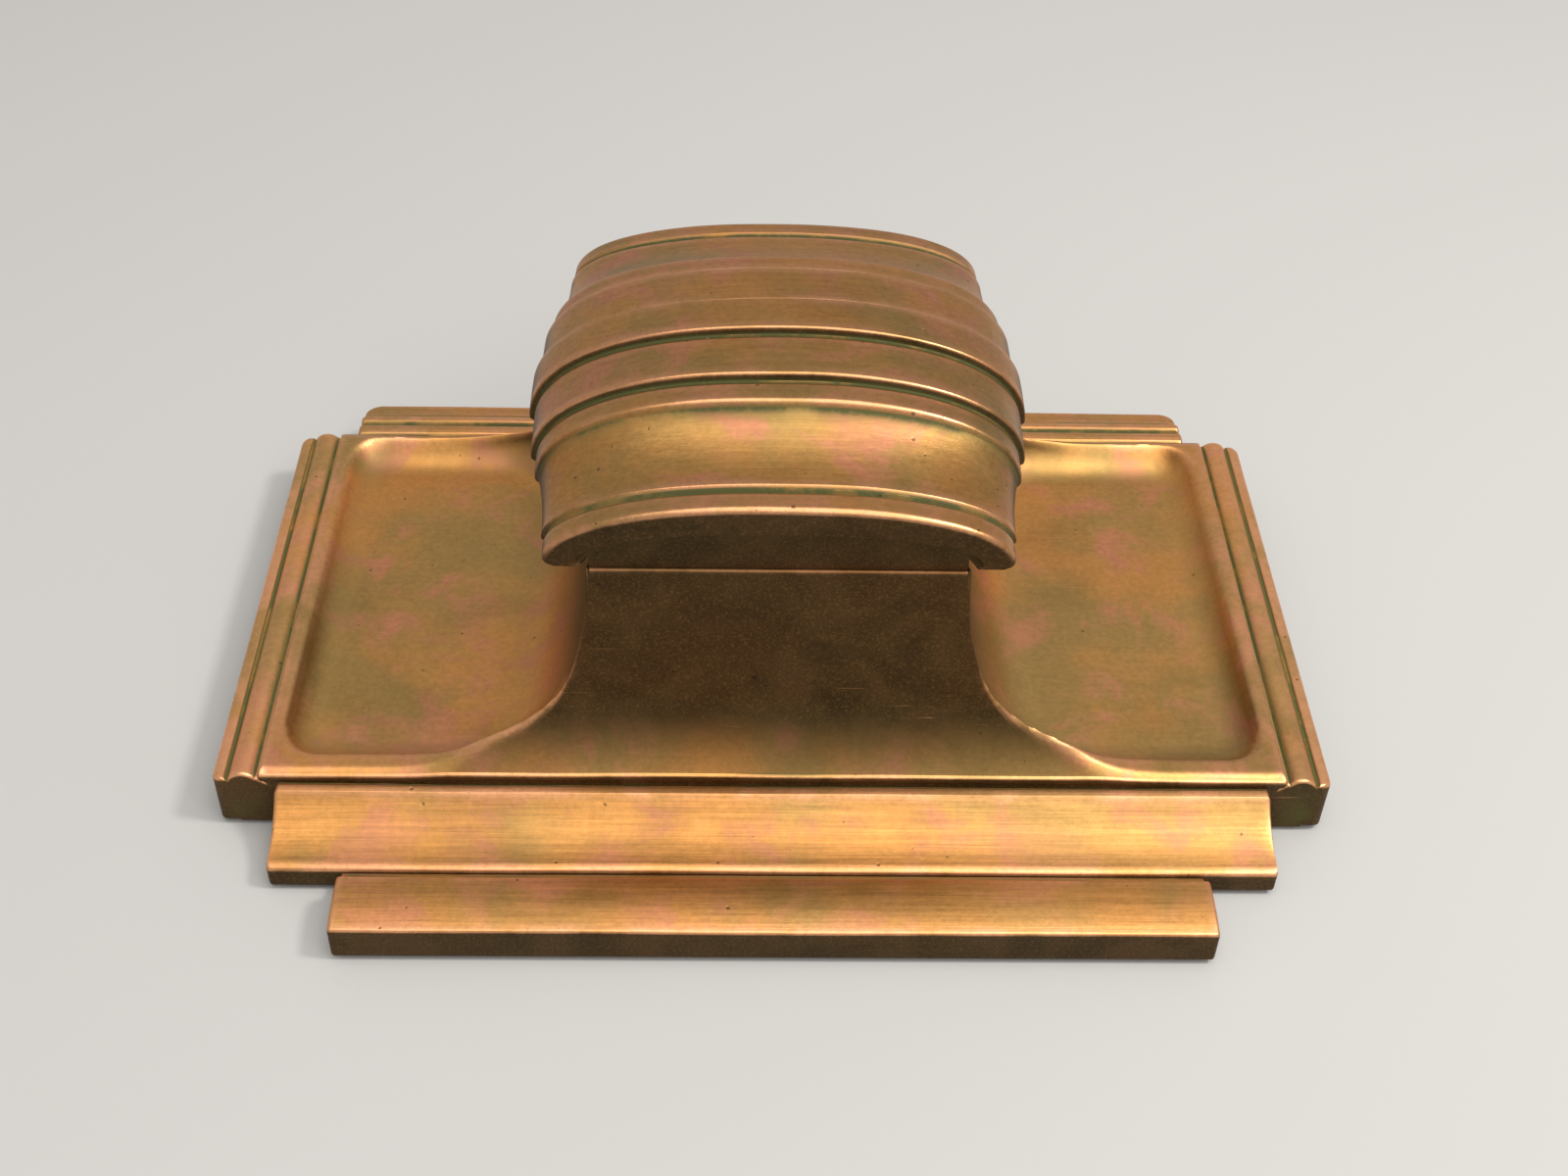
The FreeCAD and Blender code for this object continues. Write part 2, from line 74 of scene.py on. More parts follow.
SHIFT = 0.5 * (LID_LOW[1] + LID_HIGH[1])    # place of the pedestal's middle along Y
BLOCK_W = BASE_HIGH[0]      # half width over the side mouldings
BAR_Y = SHIFT - BASE_LOW[1]         # front of the bar, from the pedestal's middle
LEDGE_Y = BASE_HIGH[1] - SHIFT      # back of the ledge
CAST_LOW = BASE_LOW[2]      # underside of the casting
DECK = BASE_HIGH[2]         # top of the pedestal
CROWN_W = LID_HIGH[0]       # half width of the highest arch
CROWN_TOP = LID_HIGH[2]
LIP_Y = 0.5 * (LID_HIGH[1] - LID_LOW[1])    # front of the lid's lip
SKIRT_LOW = LID_LOW[2]      # lower edge of the lid's skirt

# ---- the rest of the casting's sizes, in millimetres -----------------------------
BLOCK_D = 39.2              # half depth of the tray block
BLOCK_IN = 73.4             # half width between the side mouldings
RIM_D = BLOCK_D - 0.55      # where the rim starts to turn down, in front
RIM_W = BLOCK_IN - 0.75     # the same at the sides
STEP_W = 70.8               # half width of the step
STEP_Y = 51.2               # front of the step
BAR_W = 60.3                # half width of the bar
LEDGE_W = 71.0              # half width of the ledge
BOARD_TOP = 2.8             # roof of the recess that the board sits in
RECESS_IN = 3.0             # wall of the base round that recess
PED_W = 25.3                # half width of the pedestal's deck
PED_D = 32.3                # half depth of the same
WALL = 3.0                  # walls of the pedestal and of the lid's skirt
SEAT_R = 21.2               # seat of the glass pot
SEAT_DEEP = 2.2
WELL_R = 18.9               # hole under the seat
WELL_LOW = 39.6             # underside of the plate with that hole
LID_FOOT = 46.3             # underside of the arches
LID_HOLLOW = 12.3           # rise of the lid's hollow over it

# ---- how finely the surfaces are cut, and how their masks are read ---------------
ARC_STEP = 0.12             # along small rounded corners
RUN_STEP = 0.9              # along the sections of mouldings and steps
RING_SIDE, RING_FRONT = 112, 92     # points along each side of the base's rings
LID_COLUMNS = 150
SHARP_ANGLE = math.radians(50.0)    # creases stronger than this stay sharp
EDGE_BEND = 1.0             # bend per millimetre that counts as a full edge
HOLLOW_BEND = 0.7           # the same for a hollow


# ---- small numeric helpers -------------------------------------------------------
def smooth_step(low, high, x):
    """0 below low, 1 above high, and 3t^2 - 2t^3 between."""
    t = np.clip((np.asarray(x, float) - low) / (high - low), 0.0, 1.0)
    return t * t * (3.0 - 2.0 * t)


def soft_min(a, b, k):
    """The lesser of a and b, with the crossing rounded over a height of k."""
    h = np.clip(0.5 + 0.5 * (b - a) / k, 0.0, 1.0)
    return b + (a - b) * h - k * h * (1.0 - h)


def fillet_path(points, radii, step):
    """Open path of straight runs whose corners are rounded: each corner is replaced by
    an arc tangent to both runs, with the radius given for it, in steps of about `step`."""
    pts = [np.asarray(p, float) for p in points]
    out = [pts[0]]
    for k in range(1, len(pts) - 1):
        a, b, c = pts[k - 1], pts[k], pts[k + 1]
        u = (a - b) / np.linalg.norm(a - b)
        w = (c - b) / np.linalg.norm(c - b)
        half = 0.5 * math.acos(float(np.clip(u @ w, -1.0, 1.0)))
        reach = min(radii[k] / math.tan(half),
                    0.49 * np.linalg.norm(a - b), 0.49 * np.linalg.norm(c - b))
        r = reach * math.tan(half)
        if r < 1e-4:
            out.append(b)
            continue
        centre = b + (u + w) / np.linalg.norm(u + w) * math.hypot(r, reach)
        start, end = b + u * reach, b + w * reach
        n = max(3, int(math.ceil(r * (math.pi - 2 * half) / step)))
        t = np.linspace(0.0, 1.0, n + 1)[:, None]
        chord = start + (end - start) * t - centre
        arc = centre + r * chord / np.linalg.norm(chord, axis=1)[:, None]
        out.extend(arc)
    out.append(pts[-1])
    return np.array(out)


def resample(path, step):
    """Points at steps no longer than `step` along each run of a path, corners kept."""
    out = [path[:1]]
    for a, b in zip(path[:-1], path[1:]):
        n = max(1, int(math.ceil(np.linalg.norm(b - a) / step)))
        t = np.linspace(0.0, 1.0, n + 1)[1:, None]
        out.append(a + (b - a) * t)
    return np.vstack(out)


def rounded_path(rows, arc_step=ARC_STEP, run_step=RUN_STEP):
    """Path through corners given as (a, b, radius), rounded and cut into short runs."""
    rows = np.array(rows, float)
    return resample(fillet_path(rows[:, :2], rows[:, 2], arc_step), run_step)


def bends(points, first, last=0.0):
    """Points as corners (a, b, radius): only the first and the last are rounded."""
    radii = [first] + [0.0] * (len(points) - 2) + [last]
    return [(a, b, r) for (a, b), r in zip(points, radii)]


def arc_points(a, m, b, n):
    """n + 1 points of the circle's arc from a through m to b, in the plane."""
    (ax, ay), (mx, my), (bx, by) = a, m, b
    d = 2 * (ax * (my - by) + mx * (by - ay) + bx * (ay - my))
    a2, m2, b2 = ax * ax + ay * ay, mx * mx + my * my, bx * bx + by * by
    cx = (a2 * (my - by) + m2 * (by - ay) + b2 * (ay - my)) / d
    cy = (a2 * (bx - mx) + m2 * (ax - bx) + b2 * (mx - ax)) / d
    r = math.hypot(ax - cx, ay - cy)
    t0 = math.atan2(ay - cy, ax - cx)
    t1 = math.atan2(my - cy, mx - cx)
    t2 = math.atan2(by - cy, bx - cx)
    turn = (t2 - t0) % (2 * math.pi)
    if (t1 - t0) % (2 * math.pi) > turn:
        turn -= 2 * math.pi
    t = t0 + turn * np.linspace(0.0, 1.0, n + 1)
    return np.stack([cx + r * np.cos(t), cy + r * np.sin(t)], axis=1)


def ripple(x, y, size, depth):
    """Slow unevenness of a hand-finished casting: the sum of five sine waves of
    different directions and lengths, about `depth` high and `size` long."""
    waves = [(1.0, 0.3, 0.4, 1.0), (-0.6, 1.1, 2.1, 0.8), (0.35, -1.4, 4.4, 0.6),
             (1.9, 0.7, 1.3, 0.35), (-1.2, -1.9, 5.2, 0.3)]
    out = 0.0
    for kx, ky, phase, weight in waves:
        out = out + weight * np.sin(2 * math.pi * (kx * x + ky * y) / size + phase)
    return out * depth / 2.2


# ---- meshes ----------------------------------------------------------------------
def grid_quads(index, wrap=False):
    """Four-cornered faces between the rows and columns of an index array."""
    i = np.asarray(index)
    if wrap:
        i = np.concatenate([i, i[:, :1]], axis=1)
    return np.stack([i[:-1, :-1], i[:-1, 1:], i[1:, 1:], i[1:, :-1]], axis=-1).reshape(-1, 4)


def signed_volume(p, quads):
    """Six times the volume inside closed four-cornered faces, positive if they face
    outwards."""
    a, b, c, d = (p[quads[:, k]] for k in range(4))
    return float(np.einsum("ij,ij->", a, np.cross(b, c)) + np.einsum("ij,ij->", a, np.cross(c, d)))


def bend_along(p, n, axis, wrap):
    """How much the surface bends along one direction of the grid, per millimetre: the
    change of the normal along the step between both neighbours, over its square."""
    if wrap:
        dp = np.roll(p, -1, axis) - np.roll(p, 1, axis)
        dn = np.roll(n, -1, axis) - np.roll(n, 1, axis)
    else:
        dp, dn = np.gradient(p, axis=axis) * 2, np.gradient(n, axis=axis) * 2
    return (dp * dn).sum(-1) / np.maximum((dp * dp).sum(-1), 1e-6)


def spread(value, p, wrap, reach, rounds):
    """Averages a value with its four neighbours, the nearer ones counting more."""
    for _ in range(rounds):
        total, weight = value.copy(), np.ones_like(value)
        for axis in (0, 1):
            for shift in (1, -1):
                v, q = np.roll(value, shift, axis), np.roll(p, shift, axis)
                w = np.exp(-(((q - p) ** 2).sum(-1)) / reach ** 2)
                if not (axis == 1 and wrap):
                    edge = [slice(None)] * 2
                    edge[axis] = 0 if shift == 1 else -1
                    w[tuple(edge)] = 0.0
                total += w * v
                weight += w
        value = total / weight
    return value


def vectors(source, field, n):
    """n vectors read from a mesh, one a row."""
    out = np.empty(3 * n, np.float32)
    source.foreach_get(field, out)
    return out.reshape(-1, 3).astype(float)


def painted_gap_shade(z):
    """1 on the deck and the lid's lower edge, where they meet under the lid: painted shade that
    keeps the gap between them dark.
    """
    over_deck = smooth_step(DECK - 0.25, DECK - 0.05, z)
    return over_deck * smooth_step(SKIRT_LOW + 0.6, SKIRT_LOW + 0.3, z)


def add_masks(mesh, grids, ends):
    """Three masks on the points, read by the bronze: `edge` where the surface is
    sharply convex and faces up, `hollow` where it is concave, `lean` where it stands
    upright, which the bronze paints dark, partly as painted shade.  The painted shade of
    the gap under the lid is added to `lean` and kept off `edge`.  The points of the flat
    ends count as upright, with no edge."""
    n = len(mesh.vertices)
    co = vectors(mesh.vertices, "co", n) / MM
    no = vectors(mesh.vertex_normals, "vector", n)
    sharp, wide = np.zeros(n), np.zeros(n)
    for index, wrap in grids:
        p, v, flat = co[index], no[index], index.ravel()
        k = np.clip(bend_along(p, v, 0, False) + bend_along(p, v, 1, wrap), -3.0, 3.0)
        for out, reach, rounds in ((sharp, 0.45, 7), (wide, 1.2, 14)):
            value = spread(k, p, wrap, reach, rounds).ravel()
            take = np.abs(value) > np.abs(out[flat])
            out[flat[take]] = value[take]
    # painted shade of the gap under the lid: no copper edge there, and it joins lean to be painted
    # dark
    gap_shade = painted_gap_shade(co[:, 2])
    edge = np.clip(sharp / EDGE_BEND, 0.0, 1.0) * smooth_step(0.02, 0.55, no[:, 2])
    edge *= 1.0 - gap_shade
    edge[ends] = 0.0
    hollow = np.clip(np.maximum(-sharp, -1.1 * wide) / HOLLOW_BEND, 0.0, 1.0)
    lean = 1.0 - smooth_step(0.03, 0.88, no[:, 2])
    lean[ends] = 1.0
    for name, value in (("edge", edge), ("hollow", hollow), ("lean", np.maximum(lean, gap_shade))):
        mesh.attributes.new(name, "FLOAT", "POINT").data.foreach_set(
            "value", value.astype(np.float32))


def new_piece(name, points, faces, material):
    """Smooth-shaded object from points in millimetres about the pedestal's middle."""
    mesh = bpy.data.meshes.new(name)
    mesh.from_pydata(((points + [0.0, SHIFT, 0.0]) * MM).tolist(), [], faces)
    mesh.validate()
    mesh.shade_smooth()
    mesh.set_sharp_from_angle(angle=SHARP_ANGLE)
    mesh.materials.append(material)
    obj = bpy.data.objects.new(name, mesh)
    bpy.context.scene.collection.objects.link(obj)
    return obj


def bronze_piece(name, p, quads, grids, material, body, node, caps=()):
    """Mesh object of a cast piece, faces outwards and end caps flat, with its masks,
    riding on a body in place of a node."""
    way = -1 if signed_volume(p, quads) < 0 else 1
    faces = quads[:, ::way].tolist() + [cap[::way] for cap in caps]
    obj = new_piece(name, p, faces, material)
    for polygon in obj.data.polygons[len(quads):]:
        polygon.use_smooth = False
    add_masks(obj.data, grids, np.array([v for cap in caps for v in cap], int))
    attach(obj, body)
    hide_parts(node)
    return obj


# ---- tray block, pedestal and deck -----------------------------------------------
def foot_curve(size):
    """Front of the pedestal as (distance from the middle, height): a rounded top edge,
    then a long flat arc that starts upright, then a tighter tangent arc to the rim."""
    big, drop, edge = size.cove_long, size.cove_turn, size.deck_edge
    a = np.linspace(0.0, math.pi / 2, 9)
    lip = np.stack([PED_D - edge + edge * np.sin(a), DECK - edge + edge * np.cos(a)], axis=1)
    a1 = math.asin(drop / big)
    a = np.linspace(math.asin(edge / big), a1, 60)
    y0 = PED_D - big * (1 - math.cos(a[0]))
    long_arc = np.stack([y0 + big * (1 - np.cos(a)), DECK - big * np.sin(a)], axis=1)
    a2 = size.cove_end
    r = (DECK - drop - size.rim_height) / (math.sin(a2) - math.sin(a1))
    a = np.linspace(a1, a2, 60)[1:]
    y1 = long_arc[-1, 0]
    short_arc = np.stack([y1 + r * (math.cos(a1) - np.cos(a)),
                          DECK - drop - r * (np.sin(a) - math.sin(a1))], axis=1)
    return np.vstack([lip, long_arc[1:], short_arc])


def tray_height(x, y, size):
    """Height of the tray at a plan point: the level whose outline passes through the
    point.  An outline is a rectangle with elliptical corners; its inner side leaves the
    pedestal upright and turns out to the floor in an arc, and its other sides rise in
    small arcs; in front it lies further in, by the wider border.  Found by halving, as
    the outlines grow with height."""
    in_front = size.front_border * smooth_step(15.0, 30.0, -y)
    x, y = np.abs(x), np.abs(y)
    floor = size.tray_floor
    tight = 14.0            # over this height the inner corners grow tighter
    low = np.full(x.shape, floor)
    high = np.full(x.shape, DECK + 1.0)

    def inner_side(h):
        """Inner side of the outline at height h over the floor: a quarter ellipse from
        upright at the deck to level at the floor."""
        k = 1.0 - np.clip(h / (DECK - floor), 0.0, 1.0)
        n = size.inner_power
        return size.floor_start - (size.floor_start - PED_W) * (1.0 - k ** n) ** (1.0 / n)

    def wall_at(h, wall, turn):
        """Wall that turns up from the floor in a quarter circle."""
        left = np.clip(turn - h, 0.0, turn)
        return wall - turn + np.sqrt(turn ** 2 - left ** 2)

    def outside(z):
        """Whether the point lies outside the outline at height z: in the inner corner
        by an ellipse, in the outer one by a super-ellipse."""
        h = np.maximum(z - floor, 0.0)
        inner = inner_side(h)
        front = wall_at(h, size.front_wall, size.front_turn)
        outer = wall_at(h, size.outer_wall, size.outer_turn)
        corner = 8.7 + 5.8 * np.exp(-(np.maximum(z, tight) - tight) / 9.0)
        cx = np.where(z < tight, inner_side(tight - floor), inner) + corner
        cy = size.front_wall - corner
        ex = np.maximum(cx - x, 0.0) / (cx - inner)
        far = y + in_front * (1.0 - smooth_step(11.0, 25.0, z))
        ey = np.maximum(far - cy, 0.0) / (front - cy)
        ox, oy = size.outer_wall - 6.5, size.front_wall - 8.5
        fx = np.maximum(x - ox, 0.0) / (outer - ox)
        fy = np.maximum(far - oy, 0.0) / (front - oy)
        return np.maximum(ex ** 2 + ey ** 2, fx ** 2.4 + fy ** 2.4) > 1.0

    beyond = outside(high)
    for _ in range(34):
        mid = 0.5 * (low + high)
        out = outside(mid)
        low = np.where(out, mid, low)
        high = np.where(out, high, mid)
    return np.where(beyond, 2.0 * DECK, 0.5 * (low + high))


def block_height(x, y, size):
    """Height of the block's top: the lesser of the pedestal's section and the tray,
    with the crossing slightly rounded.  Away from the pedestal the section is held down
    to a limit that falls to the rim's height, and the deck's side edges are rounded."""
    path = foot_curve(size)
    section = np.interp(np.abs(y), path[:, 0], path[:, 1])
    section = np.where(np.abs(y) <= path[0, 0], DECK, section)
    near = 1.0 - smooth_step(30.0, 62.0, np.abs(x))
    no_limit = 200.0 * smooth_step(30.0, 24.0, np.abs(x))
    limit = size.rim_height + 0.35 + 12.0 * near ** 3 + no_limit
    section = np.where(section < limit + 1.8, soft_min(section, limit, 1.8), limit)
    z = soft_min(section, tray_height(x, y, size), 0.5 + 1.3 * smooth_step(26.0, 12.0, section))
    r = size.deck_edge
    side = np.abs(x) - (PED_W - r)
    on_edge = (np.abs(y) < PED_D) & (side > 0) & (side < r)
    round_off = r - np.sqrt(np.maximum(r ** 2 - np.clip(side, 0, r) ** 2, 0))
    return np.where(on_edge, np.minimum(z, DECK - round_off), z)


def ring(half_x, half_y):
    """Plan points of a rectangle, anticlockwise from its front right corner, closer
    together near the corners: along a side at half * t * (1.3 - 0.3 t^2)."""
    def spaced(n):
        """n places from -1 to 1, the last left out."""
        t = np.linspace(-1.0, 1.0, n + 1)[:-1]
        return t * (1.3 - 0.3 * t * t)
    a, b = spaced(RING_SIDE), spaced(RING_FRONT)
    one_a, one_b = np.ones_like(a), np.ones_like(b)
    x = half_x * np.concatenate([one_a, -b, -one_a, b])
    y = half_y * np.concatenate([a, one_b, -a, -one_b])
    return x, y


def base_body(size, material):
    """One closed surface made of rings: up the well, over the seat and deck, down the
    pedestal, over the trays to the rim, down the outside and back under the block.
    Each ring is a rectangle whose corner runs down the crease between pedestal face
    and tray; its height comes from block_height."""
    path = foot_curve(size)
    # the crease in plan, as (half depth, half width) of the rings
    crease = np.array([
        (PED_D - size.deck_edge, PED_W - size.deck_edge), (PED_D, PED_W), (32.45, 25.9),
        (33.0, 27.5), (33.8, 29.5), (35.0, 33.0), (36.6, 38.0), (37.1, 44.0),
        (37.8, 54.0), (38.35, 64.0), (RIM_D, RIM_W)])
    # rings down the front, evenly by whichever moves more, the section or the width
    fine = resample(path[path[:, 0] < RIM_D], 0.05)
    ys = np.append(fine[:, 0], RIM_D)
    xs = np.interp(ys, crease[:, 0], crease[:, 1])
    zs = np.append(fine[:, 1], fine[-1, 1])
    run = np.concatenate([[0.0], np.cumsum(np.maximum(
        np.hypot(np.diff(ys), np.diff(zs)) / 0.42, np.diff(xs) / 0.62))])
    at = np.linspace(0.0, run[-1], int(run[-1]) + 1)
    ys, xs = np.interp(at, run, ys), np.interp(at, run, xs)
    rings = []

    def add(x, y, z):
        rings.append(np.stack([x, y, np.broadcast_to(z, x.shape)], axis=1))

    # the shaft, then the hole and the seat, whose points lie on circles
    shaft = (PED_W - WALL, PED_D - WALL)
    for z in (BOARD_TOP, 10.0, 20.0, 30.0, WELL_LOW - 0.3):
        add(*ring(*shaft), z)
    add(*ring(shaft[0] - 0.3, shaft[1] - 0.3), WELL_LOW)
    x, y = ring(PED_W, PED_D)
    a = 0.5 * (np.arctan2(y, x) + np.arctan2(y / PED_D, x / PED_W))
    seat = DECK - SEAT_DEEP
    for r, z in ((WELL_R + 0.3, WELL_LOW), (WELL_R, WELL_LOW + 0.3), (WELL_R, seat - 0.25),
                 (WELL_R + 0.07, seat - 0.07), (WELL_R + 0.25, seat), (SEAT_R - 0.15, seat),
                 (SEAT_R, seat + 0.15), (SEAT_R, DECK - 0.3), (SEAT_R + 0.09, DECK - 0.09),
                 (SEAT_R + 0.3, DECK)):
        add(r * np.cos(a), r * np.sin(a), z)
    # the deck, the pedestal and the trays
    seat_x, seat_y = rings[-1][:, 0], rings[-1][:, 1]
    deck_x, deck_y = ring(xs[0], ys[0])
    for f in np.linspace(0.0, 1.0, 8)[1:-1]:
        add(seat_x + (deck_x - seat_x) * f, seat_y + (deck_y - seat_y) * f, DECK)
    for half_x, half_y in zip(xs, ys):
        x, y = ring(half_x, half_y)
        z = np.minimum(block_height(x, y, size), DECK)
        uneven = smooth_step(DECK - 1.0, DECK - 12.0, z)
        add(x, y, z + ripple(x, y, 34.0, 0.10) * uneven)
    # the outer edge rounded over, with a fine groove where the step meets it
    rim = np.minimum(rings[-1][:, 2], size.rim_height + 1.0)
    for out, down in ((0.30, -0.02), (0.47, -0.16), (0.53, -0.36), (0.54, -0.7),
                      (0.44, -1.15), (0.36, -1.45), (0.5, -2.0)):
        add(*ring(RIM_W + out, RIM_D + out), rim + down)
    # down the outside, back under the block, and up into the recess
    x, y = ring(BLOCK_IN - 0.3, BLOCK_D - 0.04)
    wall = (np.abs(x) > STEP_W - RECESS_IN) & (np.abs(y) > BLOCK_D - RECESS_IN)
    low = np.where(wall, CAST_LOW, BOARD_TOP)
    add(x, y, 0.6 * rings[-1][:, 2] + 0.4 * low)
    add(x, y, low + 0.25)
    add(*ring(BLOCK_IN - 0.55, BLOCK_D - 0.3), low)
    inside = ring(BLOCK_IN - 0.6, BLOCK_D - RECESS_IN)
    add(*inside, low)
    add(*inside, BOARD_TOP)
    index = np.arange(len(rings) * len(x)).reshape(len(rings), -1)
    quads = grid_quads(np.concatenate([index, index[:1]]), wrap=True)
    return bronze_piece("base_body", np.vstack(rings), quads, [(index, True)], material,
                        "base", "base_casting")


# ---- mouldings, step, bar and ledge ----------------------------------------------
def sweep(section, half, round_end, step, end_curve=None):
    """A closed section carried along a straight line from -half to half.  Each end is
    worn round: over the last `round_end` the section shrinks towards its middle along a
    quarter circle.  The recess underneath stops short of both ends, and
    end_curve(shape, along) may change the shape further.  Returns points (along, a, b)
    and their index."""
    a = np.linspace(0.0, math.pi / 2, 7)
    tip = half - round_end + round_end * np.sin(a)
    inset = round_end * (1 - np.cos(a))
    wall = half - RECESS_IN
    near = np.concatenate([[wall - 0.02, wall + 0.02],
                           np.linspace(wall + 0.3, half - round_end - 0.2, 9)])
    body = np.linspace(-(wall - 0.6), wall - 0.6, max(2, int(2 * half / step)))
    along = np.concatenate([-tip[::-1], -near[::-1], body, near, tip])
    draw = np.concatenate([inset[::-1], np.zeros(len(body) + 2 * len(near)), inset])
    middle = 0.5 * (section.min(0) + section.max(0))
    reach = 0.5 * (section.max(0) - section.min(0))
    shrink = 1.0 - draw[:, None, None] / reach[None, None]
    shape = middle + (section - middle)[None] * shrink
    ceiling = np.abs(section[:, 1] - BOARD_TOP) < 1e-6
    filled = (np.abs(along) > wall)[:, None] & ceiling[None]
    shape[:, :, 1] = np.where(filled, CAST_LOW + 0.02, shape[:, :, 1])
    if end_curve:
        end_curve(shape, along)
    run = np.broadcast_to(along[:, None, None], shape.shape[:2] + (1,))
    index = np.arange(len(along) * len(section)).reshape(len(along), -1)
    return np.concatenate([run, shape], axis=2).reshape(-1, 3), index


def swept_piece(name, parts, material):
    """Joins swept parts, each (points, index), into one piece with flat ends."""
    pts, quads, grids, caps = [], [], [], []
    start = 0
    for p, index in parts:
        q = grid_quads(index, wrap=True)
        flip = signed_volume(p, q) < 0
        q = (q[:, ::-1] if flip else q) + start
        first, last = (index[0] + start).tolist(), (index[-1] + start).tolist()
        # the first ring's cap runs against the quads' own direction, the last one's with it
        caps += [first, last[::-1]] if flip else [first[::-1], last]
        pts.append(p)
        quads.append(q)
        grids.append((index + start, True))
        start += len(p)
    return bronze_piece(name, np.vstack(pts), np.vstack(quads), grids, material, "base",
                        "base_casting", caps)


def side_section(size):
    """Strip, thin groove, bead and groove from the outside inwards, then the hidden
    inner side and the recess underneath, as a closed (x, z) path."""
    w, top = BLOCK_W, size.strip_top
    inner = 71.6            # hidden under the block
    bead = arc_points((77.7, top - 0.3), (75.8, size.bead_top), (73.95, top + 0.25), 22)
    return rounded_path([
        (w - RECESS_IN + 0.01, CAST_LOW, 0), (w, CAST_LOW, 0.3), (w, top - 0.4, 0.9),
        (w - 0.7, top - 0.04, 0.5), (78.35, top - 0.02, 0.4), (78.05, top - 0.42, 0.25),
        *bends(bead, 0.2, 0.25), (73.75, top + 0.08, 0.15), (73.45, top + 0.1, 0.15),
        (inner, top - 1.2, 0), (inner, BOARD_TOP, 0), (w - RECESS_IN, BOARD_TOP, 0),
        (w - RECESS_IN, CAST_LOW, 0)])[:-1]


def round_back(along, half, r):
    """How far a corner of radius r is drawn in near the ends of a run."""
    d = np.clip(np.abs(along) - (half - r), 0.0, r)
    return (r - np.sqrt(np.maximum(r * r - d * d, 0.0)))[:, None]


def side_mouldings(size, material):
    """The side section carried from front to back, with the outer upright corners
    rounded by drawing x in along a quarter circle of the corner's radius."""
    def draw_in(shape, along):
        """Rounds the outer corners: the strip is drawn in, the bead and inside stay."""
        share = smooth_step(77.6, 79.8, shape[:, :, 0])
        shape[:, :, 0] -= round_back(along, BLOCK_D, size.corner_round) * share * 0.8

    p, index = sweep(side_section(size), BLOCK_D - 0.02, 0.5, 0.8, draw_in)
    y, x, z = p.T
    above = smooth_step(4.0, 8.0, z)
    z = z + ripple(x * 0.2, y, 40.0, 0.07) * above
    right = np.stack([x, y, z], axis=1)
    left = np.stack([-x, y, z + ripple(x, y + 31.0, 30.0, 0.03) * smooth_step(4.0, 8.0, z)],
                    axis=1)
    return swept_piece("side_mouldings", [(right, index), (left, index)], material)


def step_section(size):
    """Thin flat under the block, concave sweep, rounded lip and upright face, as a
    closed (y, z) path with y outwards."""
    d, top, lip = BLOCK_D, size.step_top, size.lip_top
    cove = arc_points((d + 1.5, top - 0.12), (d + 4.5, size.cove_mid), (STEP_Y - 1.0, lip), 26)
    return rounded_path([
        (d - 1.5, BOARD_TOP, 0), (d - 1.5, top - 0.25, 0), (d + 0.1, top - 0.22, 0.08),
        (d + 0.35, top, 0.15), *bends(cove, 0.22), (STEP_Y, lip - 0.35, 1.3),
        (STEP_Y, CAST_LOW, 0.25), (STEP_Y - RECESS_IN, CAST_LOW, 0),
        (STEP_Y - RECESS_IN, BOARD_TOP, 0), (d - 1.49, BOARD_TOP, 0)])[:-1]


def bar_section(size):
    """Groove at the step's foot, small shoulder, convex top rising to the rounded front
    edge, and the upright front, as a closed (y, z) path with y outwards."""
    low, top, back = size.bar_groove, size.bar_top, STEP_Y - 1.2
    crown = arc_points((STEP_Y + 3.0, top - 0.4), (57.0, top - 0.08),
                       (BAR_Y - 0.9, top - 0.55), 24)
    return rounded_path([
        (back, BOARD_TOP, 0), (back, low - 0.6, 0), (STEP_Y + 1.0, low - 0.35, 0.3),
        (STEP_Y + 2.1, low, 0.4), (STEP_Y + 2.55, low + 1.7, 0.2), *bends(crown, 0.4),
        (BAR_Y, top - 0.72, 1.05), (BAR_Y, CAST_LOW, 0.25), (BAR_Y - RECESS_IN, CAST_LOW, 0),
        (BAR_Y - RECESS_IN, BOARD_TOP, 0), (back + 0.01, BOARD_TOP, 0)])[:-1]


def ledge_section(size):
    """Groove at the block's foot, two ribs with a dip between them, and a strip that
    falls slowly to the rounded outer edge, as a closed (y, z) path with y outwards."""
    d, top = BLOCK_D, size.ledge_top
    return rounded_path([
        (d - 1.5, BOARD_TOP, 0), (d - 1.5, top - 0.6, 0), (d + 1.6, top - 0.55, 0.3),
        (d + 2.1, top - 0.1, 0.5), (d + 3.0, top + 0.02, 1.5), (d + 4.0, top - 0.12, 0.6),
        (d + 4.7, top - 0.75, 0.3), (d + 5.4, top - 0.72, 0.3), (d + 6.0, top - 0.4, 0.5),
        (d + 7.1, top - 0.45, 0.5), (d + 7.9, top - 1.2, 0.4), (d + 8.8, top - 1.3, 1.0),
        (LEDGE_Y - 1.4, top - 1.62, 3.0), (LEDGE_Y, top - 1.75, 0.9),
        (LEDGE_Y, CAST_LOW, 0.25), (LEDGE_Y - RECESS_IN, CAST_LOW, 0),
        (LEDGE_Y - RECESS_IN, BOARD_TOP, 0), (d - 1.49, BOARD_TOP, 0)])[:-1]


